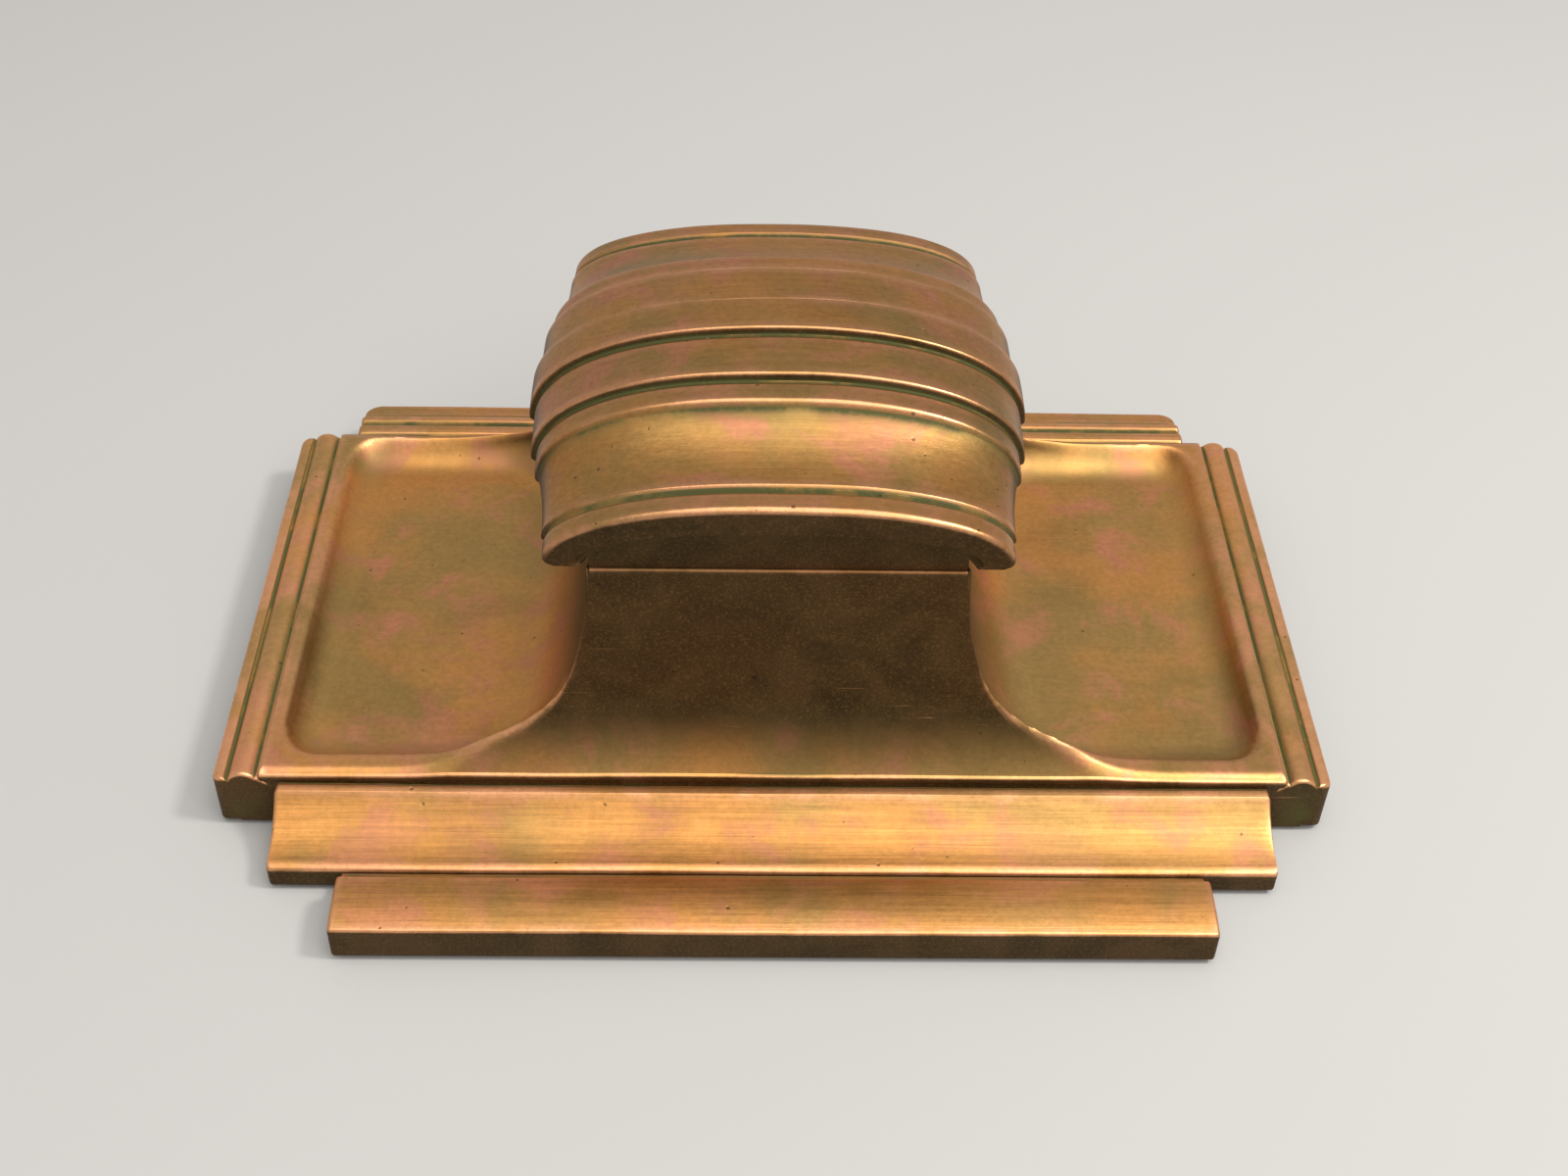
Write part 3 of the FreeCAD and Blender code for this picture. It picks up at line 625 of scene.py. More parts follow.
def steps_and_ledge(size, material):
    """Step and bar sections carried along the width in front, the ledge's behind.  The
    recess runs on from the step into the bar, so the step has no wall there, and the
    ledge's upright corners are rounded by a quarter circle."""
    def open_front(shape, along):
        """Lifts the step's front wall under the recess's roof where the bar carries on."""
        z = shape[:, :, 1]
        inside = (np.abs(along) < BAR_W - RECESS_IN)[:, None] & (z < BOARD_TOP)
        shape[:, :, 1] = np.where(inside, BOARD_TOP - 0.02 * (BOARD_TOP - z), z)

    def corners(shape, along):
        """Rounds the ledge's outer corners."""
        share = smooth_step(LEDGE_Y - 6.5, LEDGE_Y, shape[:, :, 0])
        shape[:, :, 0] -= round_back(along, LEDGE_W, size.ledge_corner) * share

    parts = []
    for section, half, side, curve in ((step_section(size), STEP_W, -1, open_front),
                                       (bar_section(size), BAR_W, -1, None),
                                       (ledge_section(size), LEDGE_W, 1, corners)):
        p, index = sweep(section, half, size.end_round, 1.1, curve)
        x, y, z = p.T
        above = smooth_step(2.9, 4.9, z)
        lift = ripple(x, y * side, 46.0, 0.08) * above
        shift = ripple(x + 11.0, y * side, 60.0, 0.06) * above
        parts.append((np.stack([x, side * (y - np.abs(shift)), z + lift], axis=1), index))
    return swept_piece("steps_and_ledge", parts, material)


# ---- lid -------------------------------------------------------------------------
def lid_profile():
    """Half section of the lid down its middle, from the crown to the lip's lower edge,
    as (distance from the middle, height): crown band, groove, band, groove, flat,
    rounded edge, long concave sweep, root groove, lip and its upright face."""
    t = CROWN_TOP
    cove = arc_points((17.85, t - 3.1), (22.5, t - 5.45), (29.5, t - 6.75), 26)
    return rounded_path([
        (0.0, t - 0.02, 0), (3.55, t - 0.06, 0.42), (3.75, t - 1.22, 0.18),
        (4.3, t - 1.3, 0.25), (4.8, t - 0.98, 0.4), (12.75, t - 1.1, 0.5),
        (12.98, t - 2.3, 0.2), (13.5, t - 2.36, 0.25), (14.0, t - 2.02, 0.4),
        (17.2, t - 2.12, 0.8), *bends(cove, 0.6, 0.3), (29.9, t - 7.25, 0.25),
        (30.7, t - 7.3, 0.25), (31.3, t - 7.0, 0.5), (LIP_Y, t - 7.12, 0.95),
        (LIP_Y, t - 11.3, 0)], 0.1, 0.55)


def arch_half_width(height):
    """Half width of the arch whose crown is at that height; higher arches are wider."""
    drops = [0.0, 0.9, 2.0, 3.5, 5.1, 6.8, 7.1, 11.3]
    widths = [CROWN_W, 34.7, 33.7, 32.8, 32.3, 31.75, 31.3, 27.2]
    return np.interp(CROWN_TOP - height, drops, widths)


def arch(theta, half, crown, foot, power):
    """Point of a super-ellipse arch at the angle theta: x is half times the cosine to
    the power 2 / p, from left to right, and the height is foot plus the rise times the
    sine to the same power."""
    c, s = np.cos(theta), np.sin(theta)
    x = -half * np.sign(c) * np.abs(c) ** (2.0 / power)
    return x, foot + (crown - foot) * np.maximum(s, 0.0) ** (2.0 / power)


def lid_roof(x, y):
    """Roof of the hollow in the lid: the arches' foot plus LID_HOLLOW s t, where s is a
    squarish arch across and t falls from 1 in the middle to a half at the front and
    back walls."""
    s = np.maximum(1 - (np.abs(x) / (PED_W - WALL)) ** 4, 0.0) ** 0.25
    t = 0.5 + 0.5 * (1 - (np.abs(y) / (PED_D - WALL)) ** 3)
    return LID_FOOT + LID_HOLLOW * s * t


def lid_body(size, material):
    """One closed surface: an outer grid of arches that follow the section from front to
    back, then bands round its border under the arches, down the skirt and up inside,
    closed by a second grid for the roof of the hollow."""
    half = lid_profile()
    section = np.vstack([half[::-1] * [-1.0, 1.0], half[1:]])
    rows, columns = len(section), LID_COLUMNS + 1
    theta = np.linspace(0.0, math.pi, columns)
    crown = section[:, 1:]
    x, z = arch(theta[None], arch_half_width(crown), crown, LID_FOOT, size.arch_power)
    y = np.broadcast_to(section[:, :1], x.shape)
    # the feet are worn round: drawn in along a small quarter circle
    r = size.foot_round
    h = np.clip(z - LID_FOOT, 0.0, r)
    x -= np.sign(x) * (r - np.sqrt(np.maximum(r * r - (r - h) ** 2, 0.0)))
    z = z + ripple(x, y, 30.0, 0.07) * smooth_step(LID_FOOT + 1, LID_FOOT + 5, z)
    outer = np.stack([x, y, np.minimum(z, CROWN_TOP)], axis=-1)

    def border(grid):
        """Border of a grid as a loop: front row, right column, back row, left column."""
        return np.concatenate([grid[0, :-1], grid[:-1, -1], grid[-1, :0:-1], grid[:0:-1, 0]])

    run = np.cumsum(np.linalg.norm(np.diff(outer[:, 0], axis=0), axis=1))
    share = np.concatenate([[-1.0], -1.0 + 2.0 * run / run[-1]])
    across, _ = arch(theta, 1.0, 0.0, 0.0, size.arch_power)

    def plate(half_x, half_y, height):
        """Grid with the outer grid's layout over a rectangle, at a given height."""
        gx, gy = np.meshgrid(across * half_x, share * half_y)
        gz = height(gx, gy) if callable(height) else np.full(gx.shape, height)
        return np.stack([gx, gy, gz], axis=-1)

    def under_arch(gx, gy):
        """Top of the skirt: an arch at its front and back, level along its sides."""
        power = size.arch_power
        s = np.clip(np.abs(gx) / PED_W, 0.0, 1.0)
        arch_z = LID_FOOT + (half[-1, 1] - LID_FOOT) * (1 - s ** power) ** (1.0 / power)
        return np.where(np.abs(gy) > PED_D - 1e-6, arch_z, LID_FOOT)

    inner_x, inner_y = PED_W - WALL, PED_D - WALL
    e = size.skirt_edge
    loops = [border(plate(PED_W, PED_D, under_arch))]
    for out, up in ((0.0, 1.2), (0.0, e), (0.3 * e, 0.3 * e), (e, 0.0)):
        loops.append(border(plate(PED_W - out, PED_D - out, SKIRT_LOW + up)))
    for out, up in ((e, 0.0), (0.3 * e, 0.3 * e), (0.0, e)):
        loops.append(border(plate(inner_x + out, inner_y + out, SKIRT_LOW + up)))
    roof = plate(inner_x, inner_y, lid_roof)
    outer_index = np.arange(x.size).reshape(rows, columns)
    loop_index = x.size + np.arange(sum(map(len, loops))).reshape(len(loops), -1)
    roof_index = outer_index + x.size + loop_index.size
    bands = np.vstack([border(outer_index), loop_index, border(roof_index)])
    quads = np.vstack([grid_quads(outer_index), grid_quads(bands, wrap=True)[:, ::-1],
                       grid_quads(roof_index)[:, ::-1]])
    p = np.vstack([outer.reshape(-1, 3), *loops, roof.reshape(-1, 3)])
    return bronze_piece("lid_body", p, quads, [(outer_index, False), (bands, True)],
                        material, "lid", "lid_casting")


# ---- felt ------------------------------------------------------------------------
def spaced_lines(stops, step, near):
    """Grid lines through the stops, no more than step apart, with two more lines close
    beside each stop, at near / 3 and near."""
    beside = (-near, -near / 3, 0.0, near / 3, near)
    lines = sorted({round(s + d, 4) for s in stops for d in beside})
    lines = [v for v in lines if min(stops) - 1e-3 <= v <= max(stops) + 1e-3]
    out = [lines[0]]
    for a, b in zip(lines[:-1], lines[1:]):
        n = max(1, int(math.ceil((b - a) / step)))
        out += [a + (b - a) * (k + 1) / n for k in range(n)]
    return np.array(out)


def felt_sheet(size, material):
    """Felt cut to the stepped outline: two grids over the outline, the lower one
    rounded up at the border and slightly uneven, joined by an edge strip."""
    inset = BLOCK_W - FELT_HIGH[0]
    # half width, then front and back, of each rectangle in the outline
    rects = [(BLOCK_W - inset, -BLOCK_D + inset, BLOCK_D - inset),
             (STEP_W - inset, -STEP_Y + inset, LEDGE_Y - inset),
             (BAR_W - inset, -BAR_Y + inset, 0.0)]
    xs = spaced_lines([v for r in rects for v in (-r[0], r[0])], 2.0, size.felt_edge)
    ys = spaced_lines([v for r in rects for v in r[1:]], 2.0, size.felt_edge)
    cx, cy = 0.5 * (xs[1:] + xs[:-1]), 0.5 * (ys[1:] + ys[:-1])
    cell = np.zeros((len(cy), len(cx)), bool)
    gx, gy = np.meshgrid(xs, ys)
    depth = np.full(gx.shape, -1.0)
    for half, front, back in rects:
        cell |= (np.abs(cx)[None] < half) & (cy > front)[:, None] & (cy < back)[:, None]
        inside = np.minimum(half - np.abs(gx), gy - front)
        depth = np.maximum(depth, np.where(back > 0.0, np.minimum(inside, back - gy),
                                           np.where(gy < back, inside, -1.0)))
    e = size.felt_edge
    d = np.clip(depth, 0.0, e)
    lift = 0.5 * (e - np.sqrt(np.maximum(e * e - (e - d) ** 2, 0.0)))
    bottom = FELT_LOW[2] + lift + np.maximum(0.035 * (1 + ripple(gx, gy, 9.0, 1.0)), 0.0)
    top = np.full(gx.shape, FELT_HIGH[2])
    n = gx.size
    index = np.arange(n).reshape(gx.shape)
    low = grid_quads(index)[cell.ravel()]
    quads = [low[:, ::-1], low + n]
    # edge strip between the two grids wherever a covered cell has no neighbour
    pad = np.pad(cell, 1)
    for dy, dx, a, b in ((-1, 0, (0, 0), (0, 1)), (1, 0, (1, 1), (1, 0)),
                         (0, -1, (1, 0), (0, 0)), (0, 1, (0, 1), (1, 1))):
        gone = cell & ~pad[1 + dy:1 + dy + cell.shape[0], 1 + dx:1 + dx + cell.shape[1]]
        r, c = np.nonzero(gone)
        p, q = index[r + a[0], c + a[1]], index[r + b[0], c + b[1]]
        quads.append(np.stack([p, q, q + n, p + n], axis=1))
    quads = np.vstack(quads)
    p = np.vstack([np.stack([gx, gy, bottom], -1).reshape(-1, 3),
                   np.stack([gx, gy, top], -1).reshape(-1, 3)])
    used, quads = np.unique(quads, return_inverse=True)
    quads = quads.reshape(-1, 4)
    p = p[used]
    if signed_volume(p, quads) < 0:
        quads = quads[:, ::-1]
    obj = new_piece("felt_sheet", p, quads.tolist(), material)
    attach(obj, "base")
    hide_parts("felt_pad")
    return obj


# ---- node building ---------------------------------------------------------------
COLOUR, FLOAT, VECTOR = "NodeSocketColor", "NodeSocketFloat", "NodeSocketVector"
BRONZE_COLOURS = ("bright", "olive", "umber", "verdigris", "copper", "rose")
MOST_LIGHT = 0.95           # no surface gives back more of the light than this


def opaque(colour, light=1.0, lift=0.0):
    """A colour with alpha 1, times `light` plus `lift`, never over MOST_LIGHT."""
    return tuple(min(v * light + lift, MOST_LIGHT) for v in colour) + (1.0,)


class Nodes:
    """Adds nodes to one tree.  Wherever a value is taken, a socket may be given."""

    def __init__(self, tree):
        self.tree = tree

    def feed(self, socket, value):
        if isinstance(value, bpy.types.NodeSocket):
            self.tree.links.new(value, socket)
        else:
            socket.default_value = value

    def put(self, kind, settings=None, **inputs):
        """A node's outputs.  Inputs are named with _ for a space, or i0, i1, ... by
        number."""
        node = self.tree.nodes.new("ShaderNode" + kind)
        for name, value in (settings or {}).items():
            setattr(node, name, value)
        for name, value in inputs.items():
            key = int(name[1:]) if name[1:].isdigit() else name.replace("_", " ")
            self.feed(node.inputs[key], value)
        return node.outputs

    def calc(self, operation, a, b, clamp=False):
        """A value worked out from two others."""
        return self.put("Math", {"operation": operation, "use_clamp": clamp}, i0=a, i1=b)[0]

    def times(self, a, b, clamp=False):
        return self.calc("MULTIPLY", a, b, clamp)

    def plus(self, a, b, clamp=False):
        return self.calc("ADD", a, b, clamp)

    def minus(self, a, b, clamp=False):
        return self.calc("SUBTRACT", a, b, clamp)

    def about(self, value, width):
        """How far a value is from a half, times width."""
        return self.times(self.minus(value, 0.5), width)

    def mix(self, factor, a, b, blend="MIX"):
        return self.put("Mix", {"data_type": "RGBA", "blend_type": blend,
                                "clamp_factor": True}, i0=factor, i6=a, i7=b)[2]

    def ramp(self, value, low, high, to_low=0.0, to_high=1.0):
        """Smooth step of a value from low to high, onto to_low to to_high."""
        return self.put("MapRange", {"interpolation_type": "SMOOTHSTEP"}, Value=value,
                        From_Min=low, From_Max=high, To_Min=to_low, To_Max=to_high)[0]

    def noise(self, place, scale, detail=3.0, rough=0.55, distort=0.0):
        return self.put("TexNoise", Vector=place, Scale=scale, Detail=detail,
                        Roughness=rough, Distortion=distort)["Fac"]

    def moved(self, place, scale, offset=(0.0, 0.0, 0.0), turn=0.0):
        """The place moved, turned about Z and stretched."""
        return self.put("Mapping", Vector=place, Scale=scale, Location=offset,
                        Rotation=(0.0, 0.0, turn))[0]

    def scaled(self, place, by):
        return self.put("VectorMath", {"operation": "MULTIPLY"}, i0=place, i1=by)[0]

    def mask(self, name):
        return self.put("Attribute", {"attribute_name": name,
                                      "attribute_type": "GEOMETRY"})["Fac"]

    def group(self, name, **inputs):
        return self.put("Group", {"node_tree": bpy.data.node_groups[name]}, **inputs)

    def relief(self, shader, height, strength, distance):
        """Bump on a shader, distance in metres."""
        self.feed(shader["Normal"],
                  self.put("Bump", Strength=strength, Distance=distance, Height=height)[0])


def new_group(name, inputs, outputs):
    """Shader node group with named sockets, the inputs as (name, kind, default); gives
    its Nodes, what comes in and what goes out."""
    tree = bpy.data.node_groups.new(name, "ShaderNodeTree")
    for label, kind, default in inputs:
        socket = tree.interface.new_socket(name=label, in_out="INPUT", socket_type=kind)
        if default is not None:
            socket.default_value = default
    for label, kind in outputs:
        tree.interface.new_socket(name=label, in_out="OUTPUT", socket_type=kind)
    return (Nodes(tree), tree.nodes.new("NodeGroupInput").outputs,
            tree.nodes.new("NodeGroupOutput").inputs)


def rubbed_lines_group():
    """Fine parallel lines along X: noise squeezed across and stretched along."""
    n, given, out = new_group(
        "rubbed_lines",
        [("Place", VECTOR, None), ("Across", FLOAT, 4200.0), ("Along", FLOAT, 80.0)],
        [("Lines", FLOAT), ("Coarse", FLOAT)])
    scale = n.put("CombineXYZ", X=given["Along"], Y=given["Across"], Z=given["Across"])[0]
    place = n.scaled(given["Place"], scale)
    n.feed(out["Lines"], n.noise(place, 1.0, 2.0, 0.6))
    n.feed(out["Coarse"], n.noise(n.scaled(place, (0.45, 0.3, 0.3)), 1.0, 3.0, 0.6))


def pits_and_dust_group():
    """Small dark pits and paler dust, each a soft spot in cells chosen by chance."""
    n, given, out = new_group(
        "pits_and_dust",
        [("Place", VECTOR, None), ("Pits", FLOAT, 0.12), ("Dust", FLOAT, 0.05)],
        [("Pit", FLOAT), ("Speck", FLOAT)])
    for chance, label, scale, width in (("Pits", "Pit", 620.0, 0.24),
                                        ("Dust", "Speck", 900.0, 0.14)):
        cells = n.put("TexVoronoi", {"feature": "F1"}, Vector=given["Place"], Scale=scale,
                      Randomness=1.0)
        pick = n.put("SeparateColor", Color=cells["Color"])
        chosen = n.calc("LESS_THAN", pick[0], given[chance])
        soft = n.times(n.minus(n.times(pick[1], width), cells["Distance"]), 9.0, clamp=True)
        n.feed(out[label], n.times(soft, chosen))


def bronze_skin_group():
    """Patina, wear and painted shade of the bronze: clouds of gold, olive and rose, rubbed
    lines, upright faces painted dark (unrubbed tarnish and painted shade), green in the
    hollows, copper on the edges, pits, scratches and dust."""
    n, g, out = new_group(
        "bronze_skin",
        [("Place", VECTOR, None), ("Edge", FLOAT, 0.0), ("Hollow", FLOAT, 0.0),
         ("Lean", FLOAT, 0.0), ("Lines", FLOAT, 0.5), ("Mottle", FLOAT, 0.5),
         *((name.capitalize(), COLOUR, (1, 1, 1, 1)) for name in BRONZE_COLOURS),
         ("Roughness", FLOAT, 0.36)],
        [("Color", COLOUR), ("Roughness", FLOAT), ("Metallic", FLOAT), ("Height", FLOAT)])
    place, mottle = g["Place"], g["Mottle"]
    beside = n.moved(place, (1.0, 1.0, 1.0), (0.31, 0.17, 0.05))
    big = n.noise(place, 38.0, 4.0, 0.55, 0.4)
    medium = n.noise(beside, 92.0, 4.0, 0.6, 0.6)
    cloud = n.noise(beside, 27.0, 3.0, 0.5, 0.8)
    fine = n.noise(place, 2600.0, 3.0, 0.65)
    grit = n.noise(place, 1100.0, 4.0, 0.7)
    streak = n.group("rubbed_lines", Place=place)
    spots = n.group("pits_and_dust", Place=place, Pits=0.13, Dust=0.05)

    # gold to olive in broad clouds, with some rose where the copper shows through
    olive = n.times(n.ramp(big, 0.38, 0.64), mottle)
    colour = n.mix(olive, g["Bright"], g["Olive"])
    rose = n.times(n.ramp(medium, 0.47, 0.68), n.times(mottle, 0.9))
    colour = n.mix(rose, colour, g["Rose"])
    dull = n.times(n.ramp(cloud, 0.50, 0.75), n.times(mottle, 0.22))
    colour = n.mix(dull, colour, g["Umber"])

    # rubbed lines, lighter and darker
    lines = n.minus(n.plus(n.times(streak["Lines"], 0.5), n.times(streak["Coarse"], 0.5)), 0.5)
    shade = n.times(lines, g["Lines"])
    tone = n.plus(n.plus(n.times(shade, 1.6), 1.0), n.about(grit, 0.6))
    tone = n.put("CombineColor", Red=tone, Green=tone, Blue=tone)[0]
    colour = n.mix(1.0, colour, tone, "MULTIPLY")

    # upright faces are painted dark: partly the unrubbed tarnish they have, partly painted shade
    # of faces turned away from the light overhead
    upright = n.ramp(n.plus(g["Lean"], n.about(fine, 0.25)), 0.0, 0.85)
    dark = n.mix(n.ramp(medium, 0.35, 0.65, 0.0, 0.08), g["Umber"], g["Olive"])
    dark = n.mix(n.ramp(fine, 0.45, 0.75, 0.0, 0.18), dark, g["Olive"])
    colour = n.mix(n.times(upright, 0.95), colour, dark)

    # green gathers in the hollows, in patches
    patch = n.times(g["Hollow"], n.ramp(medium, 0.30, 0.62, 0.45, 1.25))
    patch = n.times(patch, n.ramp(grit, 0.2, 0.7, 0.7, 1.1), clamp=True)
    colour = n.mix(patch, colour, g["Verdigris"])

    # copper on the rubbed edges, broken up by nicks, and in a few scratches
    rub = n.times(g["Edge"], n.ramp(grit, 0.25, 0.6, 0.5, 0.95), clamp=True)
    rub = n.times(rub, n.ramp(medium, 0.32, 0.6, 0.25, 1.0), clamp=True)
    colour = n.mix(rub, colour, g["Copper"])
    colour = n.mix(n.times(spots["Pit"], 0.55), colour, (0.012, 0.009, 0.006, 1.0))
    scratch = n.noise(n.moved(place, (90.0, 2600.0, 2600.0), turn=0.6), 1.0, 2.0, 0.5)
    scratch = n.times(n.ramp(scratch, 0.70, 0.76), n.ramp(cloud, 0.50, 0.62, 0.0, 0.45))
    colour = n.mix(scratch, colour, g["Copper"])
    colour = n.mix(n.times(spots["Speck"], 0.6), colour, (0.62, 0.56, 0.46, 1.0))

    # tarnish is rougher and less metallic than the rubbed bronze
    rough = n.plus(g["Roughness"], n.about(medium, 0.22))
    rough = n.plus(n.plus(rough, n.times(patch, 0.22)), n.times(upright, 0.10))
    rough = n.minus(rough, n.times(rub, 0.10), clamp=True)
    tarnish = n.calc("MAXIMUM", patch, n.times(upright, 0.5))
    metal = n.minus(n.minus(1.0, n.times(tarnish, 0.6)), spots["Speck"], clamp=True)
    height = n.plus(n.times(shade, 0.9), n.times(grit, 0.55))
    height = n.minus(n.plus(height, n.times(fine, 0.18)), n.times(spots["Pit"], 0.8))
    for name, socket in (("Color", colour), ("Roughness", rough), ("Metallic", metal),
                         ("Height", height)):
        n.feed(out[name], socket)


def build_groups():
    """The node groups that the metals share, made once."""
    if "rubbed_lines" not in bpy.data.node_groups:
        rubbed_lines_group()
        pits_and_dust_group()
        bronze_skin_group()


# ---- materials -------------------------------------------------------------------
# how strongly the rubbed lines and the clouds show, the roughness, how strong the
# relief is, and how light the bronze is as a whole
BRONZE_FINISH = {
    "tray_bronze": dict(lines=0.15, mottle=0.95, roughness=0.41, bump=0.4, tone=1.15),
    "moulding_bronze": dict(lines=0.2, mottle=0.9, roughness=0.44, bump=0.45, tone=1.25),
    "step_bronze": dict(lines=0.8, mottle=0.75, roughness=0.45, bump=0.4, tone=1.1),
    "lid_bronze": dict(lines=0.5, mottle=0.95, roughness=0.37, bump=0.35, tone=0.90),
}


def finished(name, finish, *values, **more):
    """The material of that name.  The first time, it is made with one Principled shader,
    and finish(nodes, shader's inputs, place, ...) joins its pattern to it, where place
    is the point on the object."""
    material = bpy.data.materials.get(name)
    if material:
        return material
    build_groups()
    material = bpy.data.materials.new(name)
    material.use_nodes = True
    tree = material.node_tree
    tree.nodes.clear()
    out = tree.nodes.new("ShaderNodeOutputMaterial")
    shader = tree.nodes.new("ShaderNodeBsdfPrincipled")
    tree.links.new(shader.outputs[0], out.inputs["Surface"])
    place = tree.nodes.new("ShaderNodeTexCoord").outputs["Object"]
    finish(Nodes(tree), shader.inputs, place, *values, **more)
    return material


def aged_bronze(n, shader, place, colours, lines, mottle, roughness, bump, tone):
    """Aged bronze: the shared skin, driven by the piece's own masks."""
    tints = {name.capitalize(): opaque(getattr(colours, name), tone)
             for name in BRONZE_COLOURS}
    skin = n.group("bronze_skin", Place=place, Edge=n.mask("edge"), Hollow=n.mask("hollow"),
                   Lean=n.mask("lean"), Lines=lines, Mottle=mottle, Roughness=roughness,
                   **tints)
    n.feed(shader["Base Color"], skin["Color"])
    n.feed(shader["Roughness"], skin["Roughness"])
    n.feed(shader["Metallic"], skin["Metallic"])
    shader["Specular IOR Level"].default_value = 0.2
    n.relief(shader, skin["Height"], bump, 0.0001)


def bronze(name, colours):
    """The bronze of one piece, with that piece's finish."""
    return finished(name, aged_bronze, colours, **BRONZE_FINISH[name])


def brushed_metal(n, shader, place, colour, dark, roughness):
    """Plain turned or rolled metal: rubbed lines along X, small pits and a dull film."""
    streak = n.group("rubbed_lines", Place=place, Across=5200.0, Along=160.0)
    spots = n.group("pits_and_dust", Place=place, Pits=0.16, Dust=0.03)
    film = n.noise(place, 210.0, 4.0, 0.6)
    tint = n.mix(n.ramp(film, 0.35, 0.7), opaque(colour), opaque(dark))
    tint = n.mix(n.times(streak["Lines"], 0.35), tint, opaque(dark))
    tint = n.mix(n.times(spots["Pit"], 0.6), tint, (0.02, 0.016, 0.012, 1.0))
    n.feed(shader["Base Color"], tint)
    n.feed(shader["Roughness"], n.plus(roughness, n.about(film, 0.3), clamp=True))
    shader["Metallic"].default_value = 1.0
    n.relief(shader, streak["Lines"], 0.5, 0.00003)


def pressed_glass(n, shader, place):
    """Clear moulded glass, faintly green, with the slow waves of a pressed surface."""
    waves = n.noise(place, 130.0, 2.0, 0.5)
    smear = n.noise(place, 340.0, 4.0, 0.6)
    n.feed(shader["Base Color"], n.mix(n.ramp(waves, 0.3, 0.7), (0.90, 0.95, 0.92, 1.0),
                                       (0.96, 0.98, 0.97, 1.0)))
    n.feed(shader["Roughness"], n.ramp(smear, 0.45, 0.75, 0.02, 0.14))
    shader["Transmission Weight"].default_value = 1.0
    shader["IOR"].default_value = 1.5
    n.relief(shader, waves, 0.4, 0.0004)


def fibre_board(n, shader, place):
    """Brown pressed board: fine fibres lying in two directions, with darker flecks."""
    one = n.noise(n.moved(place, (260.0, 2400.0, 900.0)), 1.0, 4.0, 0.6)
    two = n.noise(n.moved(place, (2100.0, 300.0, 900.0), turn=0.5), 1.0, 4.0, 0.6)
    fibres = n.times(n.plus(one, two), 0.5)
    n.feed(shader["Base Color"], n.mix(n.ramp(fibres, 0.35, 0.65), (0.105, 0.055, 0.026, 1.0),
                                       (0.22, 0.13, 0.066, 1.0)))
    n.feed(shader["Roughness"], n.ramp(fibres, 0.3, 0.7, 0.85, 0.65))
    n.relief(shader, fibres, 0.7, 0.0002)


def wool_felt(n, shader, place, colour):
    """Wool felt: matted fibres in three directions, paler where it is worn, with a
    faint sheen."""
    ways = [n.noise(n.moved(place, (700.0, 5200.0, 5200.0), turn=1.05 * k), 1.0, 3.0, 0.7)
            for k in range(3)]
    fibres = n.calc("MAXIMUM", n.calc("MAXIMUM", ways[0], ways[1]), ways[2])
    worn = n.noise(place, 60.0, 4.0, 0.6)
    tint = n.mix(n.ramp(fibres, 0.45, 0.75), opaque(colour, 0.45), opaque(colour, 1.5))
    tint = n.mix(n.ramp(worn, 0.5, 0.75, 0.0, 0.25), tint, opaque(colour, 0.7, 0.02))
    n.feed(shader["Base Color"], tint)
    shader["Roughness"].default_value = 0.95
    shader["Sheen Weight"].default_value = 0.15
    n.relief(shader, fibres, 1.0, 0.0004)


def pale_ground(n, shader, place, colour):
    """Plain pale matte surface with a barely visible unevenness."""
    n.feed(shader["Base Color"], n.mix(n.noise(place, 6.0, 3.0, 0.5), opaque(colour, 0.985),
                                       opaque(colour)))
    shader["Roughness"].default_value = 0.85


def dress(material, *nodes):
    """Gives CAD nodes a material in every slot."""
    for name in nodes:
        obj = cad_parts[name]
        obj = obj if isinstance(obj, bpy.types.Object) else bpy.data.objects[name]
        if not obj.data.materials:
            obj.data.materials.append(material)
        for slot in obj.material_slots:
            slot.link = "OBJECT"
            slot.material = material


# ---- what a user may change ------------------------------------------------------
def length(label, default, low, high, about):
    """A length, given here in millimetres and kept in metres."""
    return FloatProperty(name=label, description=about, default=default * MM, min=low * MM,
                         max=high * MM, unit="LENGTH", precision=5, step=0.01)


def swatch(label, default, about):
    """A colour."""
    return FloatVectorProperty(name=label, description=about, subtype="COLOR", size=3,
                               default=default, min=0, max=1)


def number(label, default, low, high, about, **kind):
    """A plain number, or a quantity whose unit or subtype is given."""
    return FloatProperty(name=label, description=about, default=default, min=low, max=high,
                         **kind)


